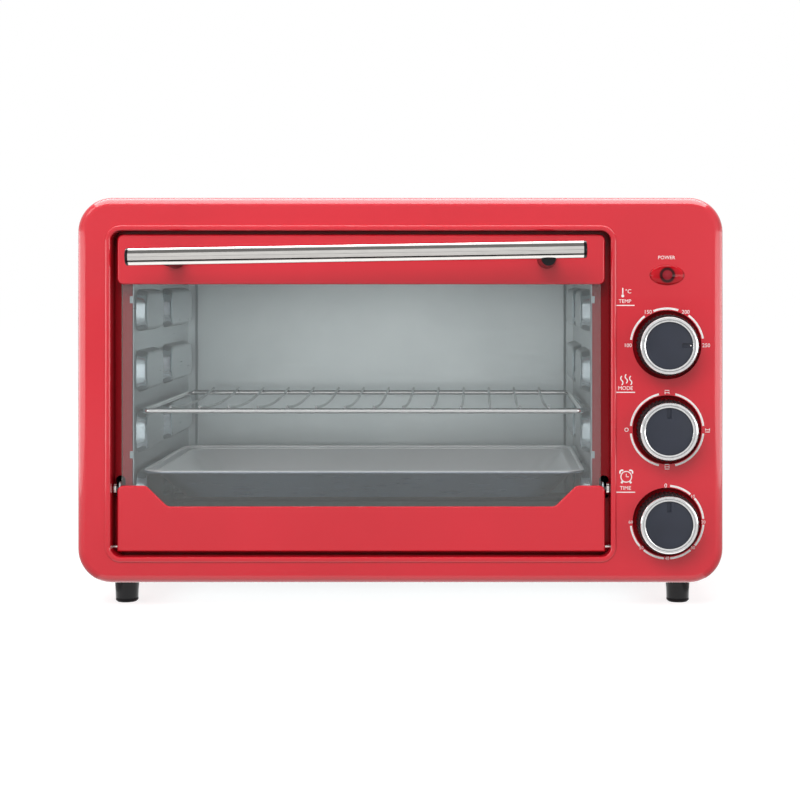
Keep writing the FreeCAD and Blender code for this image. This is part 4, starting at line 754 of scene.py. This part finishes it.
def clock_sign(x, z):
    """An alarm clock with two bells, two legs and its hands."""
    work = bmesh.new()
    add_arc(work, x, z, CASE_RADIUS, CASE_STROKE)
    close_seams(work)
    for side in BOTH_SIDES:
        add_bar(work, x + side * LEG_SHIFT, z - LEG_DROP, LEG_WIDTH, LEG_HEIGHT, side * LEG_TURN)
        add_arc(work, x + side * BELL_SHIFT, z + BELL_RISE, BELL_RADIUS, BELL_STROKE,
                side * BELL_TURN - BELL_REACH, side * BELL_TURN + BELL_REACH)
    add_bar(work, x, z + LONG_HAND / 2, HAND_STROKE, LONG_HAND)
    add_bar(work, x + SHORT_HAND / 2, z, SHORT_HAND, HAND_STROKE)
    flat_print(work, "clock_sign")


def signs():
    """The three signs over the knobs, and the words under them and over the lamp."""
    thermometer_sign(THERMOMETER_X, KNOB_Z["thermostat"] + THERMOMETER_RISE)
    steam_sign(STEAM_X, KNOB_Z["selector"] + STEAM_RISE)
    clock_sign(CLOCK_X, KNOB_Z["timer"] + CLOCK_RISE)
    for name, word, x, z in LABELS:
        print_text(word, x, z, LABEL_SIZE, "label_" + name)
        work = bmesh.new()
        add_bar(work, x, z - RULE_DROP, RULE_WIDTH, RULE_HEIGHT)
        flat_print(work, "label_rule_" + name)
    print_text("POWER", POWER_X, LAMP_Z + POWER_RISE, POWER_SIZE, "label_power")


# Knobs

SKIRT_RADIUS = 22.9
SKIRT_DEPTH = 15.5
SKIRT_BORE = 3.1
SKIRT_BORE_DEPTH = 7.2
POLE = 0.01
TEETH = 44
TOOTH_STEPS = 6
TOOTH_SHARE = 0.036
TOOTH_BAND = 0.8
RING_RADIUS = 21.3
RING_DEPTH = 4.6
RING_BORE = 17.45
RING_STEPS = 128
SKIRT_CREASE = 35.0
RING_CREASE = 40.0
CAP_CREASE = 24.0
GROOVE_START = 2.1
GROOVE_END = 2.4
GROOVE_DEPTH = 0.3
CAP_ROUND = 0.15
DOT_SHIFT = 15.9
DOT_FRONT = 3.05
DOT_RADIUS = 0.5
DOT_RISE = 0.12
POINTER_STEPS = 24


def knob_skirt(name, z):
    """A turned skirt, then knurled by drawing its rim in between the teeth."""
    radius = SKIRT_RADIUS
    depth = SKIRT_DEPTH
    outline = [(0, SKIRT_BORE_DEPTH), (POLE, SKIRT_BORE_DEPTH), (SKIRT_BORE, SKIRT_BORE_DEPTH),
               (SKIRT_BORE, 0.4), (radius - 1.3, 0.2), (radius - 0.3, 0.7), (radius, 1.4),
               (radius, depth - 1.4), (radius - 0.5, depth - 0.4), (radius - 1.5, depth), (POLE, depth),
               (0, depth)]
    skirt = front_lathe(outline, (KNOB_X, KNOB_BASE, z), TEETH * TOOTH_STEPS)
    middle = mm(KNOB_X, z)
    for vert in skirt.verts:
        out = Vector((vert.co.x, vert.co.z)) - middle
        if out.length > (radius - TOOTH_BAND) * MM:
            wave = 0.5 + 0.5 * math.cos(TEETH * math.atan2(out.y, out.x))
            out *= 1 - TOOTH_SHARE * wave ** 2
            vert.co.x, vert.co.z = middle + out
    keep(name + "_skirt_fine", skirt, KNURL, name + "_knob", [name + "_knob_skirt"],
         SKIRT_CREASE)


def knob_ring(name, z):
    """A bright ring with rounded edges and a groove in its face, whose darker steel is painted shade."""
    radius = RING_RADIUS
    bore = RING_BORE
    base = SKIRT_DEPTH
    top = SKIRT_DEPTH + RING_DEPTH
    outline = [(bore, base), (radius - 0.3, base), (radius, base + 0.3), (radius, top - 0.9),
               (radius - 0.12, top - 0.45), (radius - 0.45, top - 0.12), (radius - 0.9, top),
               (radius - GROOVE_START + 0.15, top), (radius - GROOVE_START, top - GROOVE_DEPTH),
               (radius - GROOVE_END, top - GROOVE_DEPTH), (radius - GROOVE_END - 0.15, top),
               (bore + 0.5, top), (bore + 0.15, top - 0.15), (bore, top - 0.5), (bore, base)]
    centre = (KNOB_X, KNOB_BASE, z)
    ring = front_lathe(outline, centre, RING_STEPS)
    # Faces in the groove get the darker steel: painted shade.
    for face in ring.faces:
        spot = face.calc_center_median() - mm(*centre)
        if radius - GROOVE_END < math.hypot(spot.x, spot.z) * PER_METRE < radius - GROOVE_START:
            face.material_index = 1
    piece = keep(name + "_ring_fine", ring, FINISHES["chrome"], name + "_knob",
                 [name + "_knob_ring"], RING_CREASE)
    piece.data.materials.append(GROOVE_SHADE)


def pointer_dot():
    """The white dot at the rim of the thermostat's pointer."""
    place = (KNOB_X + DOT_SHIFT, KNOB_BASE - SKIRT_DEPTH - DOT_FRONT, KNOB_Z["thermostat"])
    work = front_lathe([(0, 0.0), (DOT_RADIUS, 0.0), (DOT_RADIUS, DOT_RISE), (0, DOT_RISE)], place,
                       POINTER_STEPS)
    keep("thermostat_pointer_dot", work, INK, "thermostat_knob", crease=PRINT_CREASE)


def knobs():
    """Knurled skirts and bright rings; caps and spindles keep their CAD form."""
    for name, z in KNOB_Z.items():
        knob_skirt(name, z)
        knob_ring(name, z)
        smooth_node(name + "_knob_cap", crease=CAP_CREASE, edge_round=CAP_ROUND)
        smooth_node(name + "_spindle")
    pointer_dot()


# Handle

TUBE_TILT = math.radians(0.95)
TUBE_LENGTH = 331.0
TUBE_RADIUS = 6.35
TUBE_BORE = 5.4
TUBE_STEPS = 128
TUBE_EDGE = 0.2
CAP_PLUG_DEPTH = 8.0
CAP_STEPS = 96
STANDOFF_ROUND = 0.3
STANDOFF_CREASE = 35.0


def handle_tube(place):
    """The steel tube, with its outer edges broken."""
    half = TUBE_LENGTH / 2
    edge = TUBE_RADIUS - TUBE_EDGE
    tube = lathe([(TUBE_BORE, -half), (edge, -half), (TUBE_RADIUS, -half + TUBE_EDGE),
                  (TUBE_RADIUS, half - TUBE_EDGE), (edge, half), (TUBE_BORE, half), (TUBE_BORE, -half)],
                 TUBE_STEPS)
    bmesh.ops.transform(tube, matrix=place, verts=tube.verts)
    keep("handle_tube_fine", tube, FINISHES["bright_steel"], "door", ["handle_tube"])


def handle_caps(place):
    """The two end caps, each a plug with a domed head."""
    work = bmesh.new()
    for side in BOTH_SIDES:
        cap = lathe([(0, -CAP_PLUG_DEPTH), (5.3, -CAP_PLUG_DEPTH), (5.35, 0.0), (6.3, 0.0),
                     (TUBE_RADIUS, 0.1), (TUBE_RADIUS, 1.2), (6.1, 1.75), (5.5, 2.1), (4.2, 2.35),
                     (2.4, 2.52), (0, 2.6)], CAP_STEPS)
        end = place @ Matrix.Translation(mm(0, 0, side * TUBE_LENGTH / 2))
        if side < 0:
            end = end @ Matrix.Rotation(math.radians(180), 4, "X")
        bmesh.ops.transform(cap, matrix=end, verts=cap.verts)
        mesh = bpy.data.meshes.new("cap")
        cap.to_mesh(mesh)
        cap.free()
        work.from_mesh(mesh)
        bpy.data.meshes.remove(mesh)
    keep("handle_caps_fine", work, FINISHES["black_plastic"], "door", ["handle_caps"])


def handle():
    """The handle, a little tilted to the door as in the photograph."""
    low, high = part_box("handle_tube")
    along_x = Matrix.Rotation(math.radians(90), 4, "Y")
    place = Matrix.Translation((low + high) / 2) @ Matrix.Rotation(-TUBE_TILT, 4, "Y") @ along_x
    handle_tube(place)
    handle_caps(place)
    for side in ("left", "right"):
        smooth_node("handle_standoff_" + side, crease=STANDOFF_CREASE, edge_round=STANDOFF_ROUND)
    smooth_node("handle_screws")


# Lamp

LENS_HALF_WIDTH = 13.0
LENS_DOME = 3.15
LENS_HALF_HEIGHT = 7.5
LENS_STEPS = 64


def lamp():
    """The front half of an ellipsoid as the lens, over the neon lamp."""
    lens = bmesh.new()
    bmesh.ops.create_uvsphere(lens, u_segments=LENS_STEPS, v_segments=LENS_STEPS // 2, radius=1.0)
    whole = lens.verts[:] + lens.edges[:] + lens.faces[:]
    cut = bmesh.ops.bisect_plane(lens, geom=whole, plane_co=(0, 0, 0), plane_no=(0, 1, 0),
                                 clear_outer=True)
    rim = [item for item in cut["geom_cut"] if isinstance(item, bmesh.types.BMEdge)]
    bmesh.ops.edgeloop_fill(lens, edges=rim)
    bmesh.ops.scale(lens, vec=mm(LENS_HALF_WIDTH, LENS_DOME, LENS_HALF_HEIGHT), verts=lens.verts)
    bmesh.ops.recalc_face_normals(lens, faces=lens.faces)
    bmesh.ops.translate(lens, vec=mm(KNOB_X, FACE_Y, LAMP_Z), verts=lens.verts)
    keep("lamp_lens_fine", lens, FINISHES["red_lens"], "chassis", ["lamp_lens"])
    smooth_node("neon_lamp")


# Studio, in metres

WHITE = (1, 1, 1, 1)
BLACK = (0, 0, 0, 1)
WORLD_LIGHT = 0.5
WORLD_SEEN = 1.0
FLOOR_SIZE = 30
FLOOR_GREY = (0.36, 0.36, 0.36, 1)
FLOOR_SEEN = 0.82
FLOOR_MIRRORED = 0.45

# Name, place, aim, size and watts of each lamp
LAMPS = (
    ("key", (-0.35, -1.7, 1.5), (0, -0.1, 0.2), (1.4, 0.9), 27.5),
    ("left_strip", (-1.5, -1.3, 0.45), (0, -0.1, 0.18), (0.5, 1.6), 6.5),
    ("right_strip", (1.6, -1.3, 0.45), (0, -0.1, 0.18), (0.5, 1.6), 8.0),
    ("top", (-0.1, 0.2, 1.9), (0, 0, 0.2), (1.6, 1.0), 12.0),
)

CORNER_LINE = ((-1.0, -0.42), (-0.86, -0.82))
LEFT_LINE = ((-0.8, -1.9), (-1.0, 0.4))
RIGHT_LINE = ((0.66, -1.9), (1.1, 0.4))
SIDE_TOP = 0.31
UPPER_TOP = 0.42


def level_card(half, front, back, height):
    """The corners of a level card, as wide on the left as on the right."""
    return ((-half, front, height), (half, front, height), (half, back, height), (-half, back, height))


def upright_card(line, low, high):
    """The corners of an upright card over a line on the floor."""
    start, end = line
    return ((*start, low), (*end, low), (*end, high), (*start, high))


# Name, corners and strength of each card
CARDS = (
    ("dark_ceiling_card", level_card(0.6, -0.96, -0.14, 1.0), 0.24),
    ("bright_ceiling_card", level_card(0.9, -0.10, 1.10, 1.1), 1.7),
    ("dark_handle_card", level_card(0.25, -0.201, -0.186, 0.235), 0.0),
    ("bright_handle_card", level_card(0.25, -0.178, -0.148, 0.235), 1.5),
    ("corner_card", upright_card(CORNER_LINE, 0.68, 1.0), 4.5),
    ("top_edge_card", level_card(0.24, -0.156, -0.132, 0.316), 8.0),
    ("bottom_edge_card", level_card(0.24, -0.20, -0.06, 0.003), 1.8),
    ("left_card", upright_card(LEFT_LINE, 0.0, SIDE_TOP), 4.0),
    ("right_card", upright_card(RIGHT_LINE, 0.0, SIDE_TOP), 4.2),
    ("left_upper_card", upright_card(LEFT_LINE, SIDE_TOP, UPPER_TOP), 0.9),
    ("right_upper_card", upright_card(RIGHT_LINE, SIDE_TOP, UPPER_TOP), 1.0),
)


def studio_mesh(name, work, finish):
    """An object of the studio from a bmesh and its finish."""
    mesh = bpy.data.meshes.new(name)
    work.to_mesh(mesh)
    work.free()
    mesh.materials.append(finish.material)
    made = bpy.data.objects.new(name, mesh)
    bpy.context.scene.collection.objects.link(made)
    return made


def backdrop():
    """A world that lights the oven softly and is white to the camera, in mirrors and through glass."""
    world = bpy.data.worlds.new("studio")
    bpy.context.scene.world = world
    world.use_nodes = True
    sky = Tree(world.node_tree)
    path = sky.node("LightPath").outputs
    seen = sky.arithmetic("MAXIMUM", path["Is Camera Ray"], path["Is Transmission Ray"])
    seen = sky.arithmetic("MAXIMUM", seen, path["Is Glossy Ray"])
    background = world.node_tree.nodes["Background"]
    background.inputs["Color"].default_value = WHITE
    sky.feed(sky.between(seen, WORLD_LIGHT, WORLD_SEEN), background.inputs["Strength"])


def lay_floor():
    """A pale floor that glows to the camera and in mirrors, and takes the oven's shadow."""
    work = bmesh.new()
    bmesh.ops.create_grid(work, x_segments=1, y_segments=1, size=FLOOR_SIZE)
    pale = Finish("studio_floor")
    path = pale.node("LightPath").outputs
    glow = pale.arithmetic("MULTIPLY", path["Is Camera Ray"], FLOOR_SEEN)
    glow = pale.arithmetic("MULTIPLY_ADD", path["Is Glossy Ray"], FLOOR_MIRRORED, glow)
    pale.set(Base_Color=FLOOR_GREY, Roughness=0.9, Specular_IOR_Level=0.0, Emission_Color=WHITE,
             Emission_Strength=glow)
    floor = studio_mesh("studio_floor", work, pale)
    floor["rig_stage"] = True


def lamps():
    """Soft boxes, which mirrors don't show."""
    for name, at, aim, size, watts in LAMPS:
        light = bpy.data.lights.new(name, "AREA")
        light.shape = "RECTANGLE"
        light.size, light.size_y = size
        light.energy = watts
        box = bpy.data.objects.new(name, light)
        box.location = at
        box.visible_glossy = False
        box.rotation_euler = (Vector(aim) - Vector(at)).to_track_quat("-Z", "Y").to_euler()
        bpy.context.scene.collection.objects.link(box)


def cards():
    """Dark and bright cards that only reflections see, for the bands and the bright edges."""
    for name, corners, strength in CARDS:
        work = bmesh.new()
        work.faces.new([work.verts.new(corner) for corner in corners])
        paint = Finish(name)
        paint.set(Base_Color=BLACK, Roughness=1.0, Specular_IOR_Level=0.0, Emission_Color=WHITE,
                  Emission_Strength=strength)
        card = studio_mesh(name, work, paint)
        card.visible_camera = False
        card.visible_diffuse = False
        card.visible_shadow = False
        card.visible_transmission = False
        card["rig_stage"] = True


# The photograph's view: square to the front and framed by lens shift
EYE_X = 58.1
EYE_Z = 248.65
EYE_DISTANCE = 1300.0
FOCAL_LENGTH = 78.49
SENSOR_WIDTH = 36.0
SHIFT_X = -0.0975
SHIFT_Y = -0.15375


def camera():
    """A camera at the photograph's place."""
    lens = bpy.data.cameras.new("camera")
    lens.lens = FOCAL_LENGTH
    lens.sensor_width = SENSOR_WIDTH
    lens.shift_x = SHIFT_X
    lens.shift_y = SHIFT_Y
    eye = bpy.data.objects.new("camera", lens)
    eye.location = mm(EYE_X, FACE_Y - EYE_DISTANCE, EYE_Z)
    eye.rotation_euler = (math.radians(90), 0, 0)
    bpy.context.scene.collection.objects.link(eye)
    bpy.context.scene.camera = eye


camera()
backdrop()
lay_floor()
lamps()
cards()
pressed_front()
for side in ("left", "right"):
    pressed_wall(side)
# The back wall in the lighter copy of the sheet: painted light.
smooth_node("cavity_back_wall", LIT_BACK_SHEET)
smooth_node("rack_wires", SHADED_RACK_WIRE)
smooth_node("arm_rivets", SHADED_RIVET_STEEL)
pane()
baking_tray()
knobs()
handle()
lamp()
scales()
signs()
done = {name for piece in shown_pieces() for name in piece.get("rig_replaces", [])}
for node in list(frame["nodes"]):
    if node not in done:
        smooth_node(node, edge_round=ROUNDED.get(node, 0.0))

bpy.context.scene.view_settings.view_transform = "Standard"
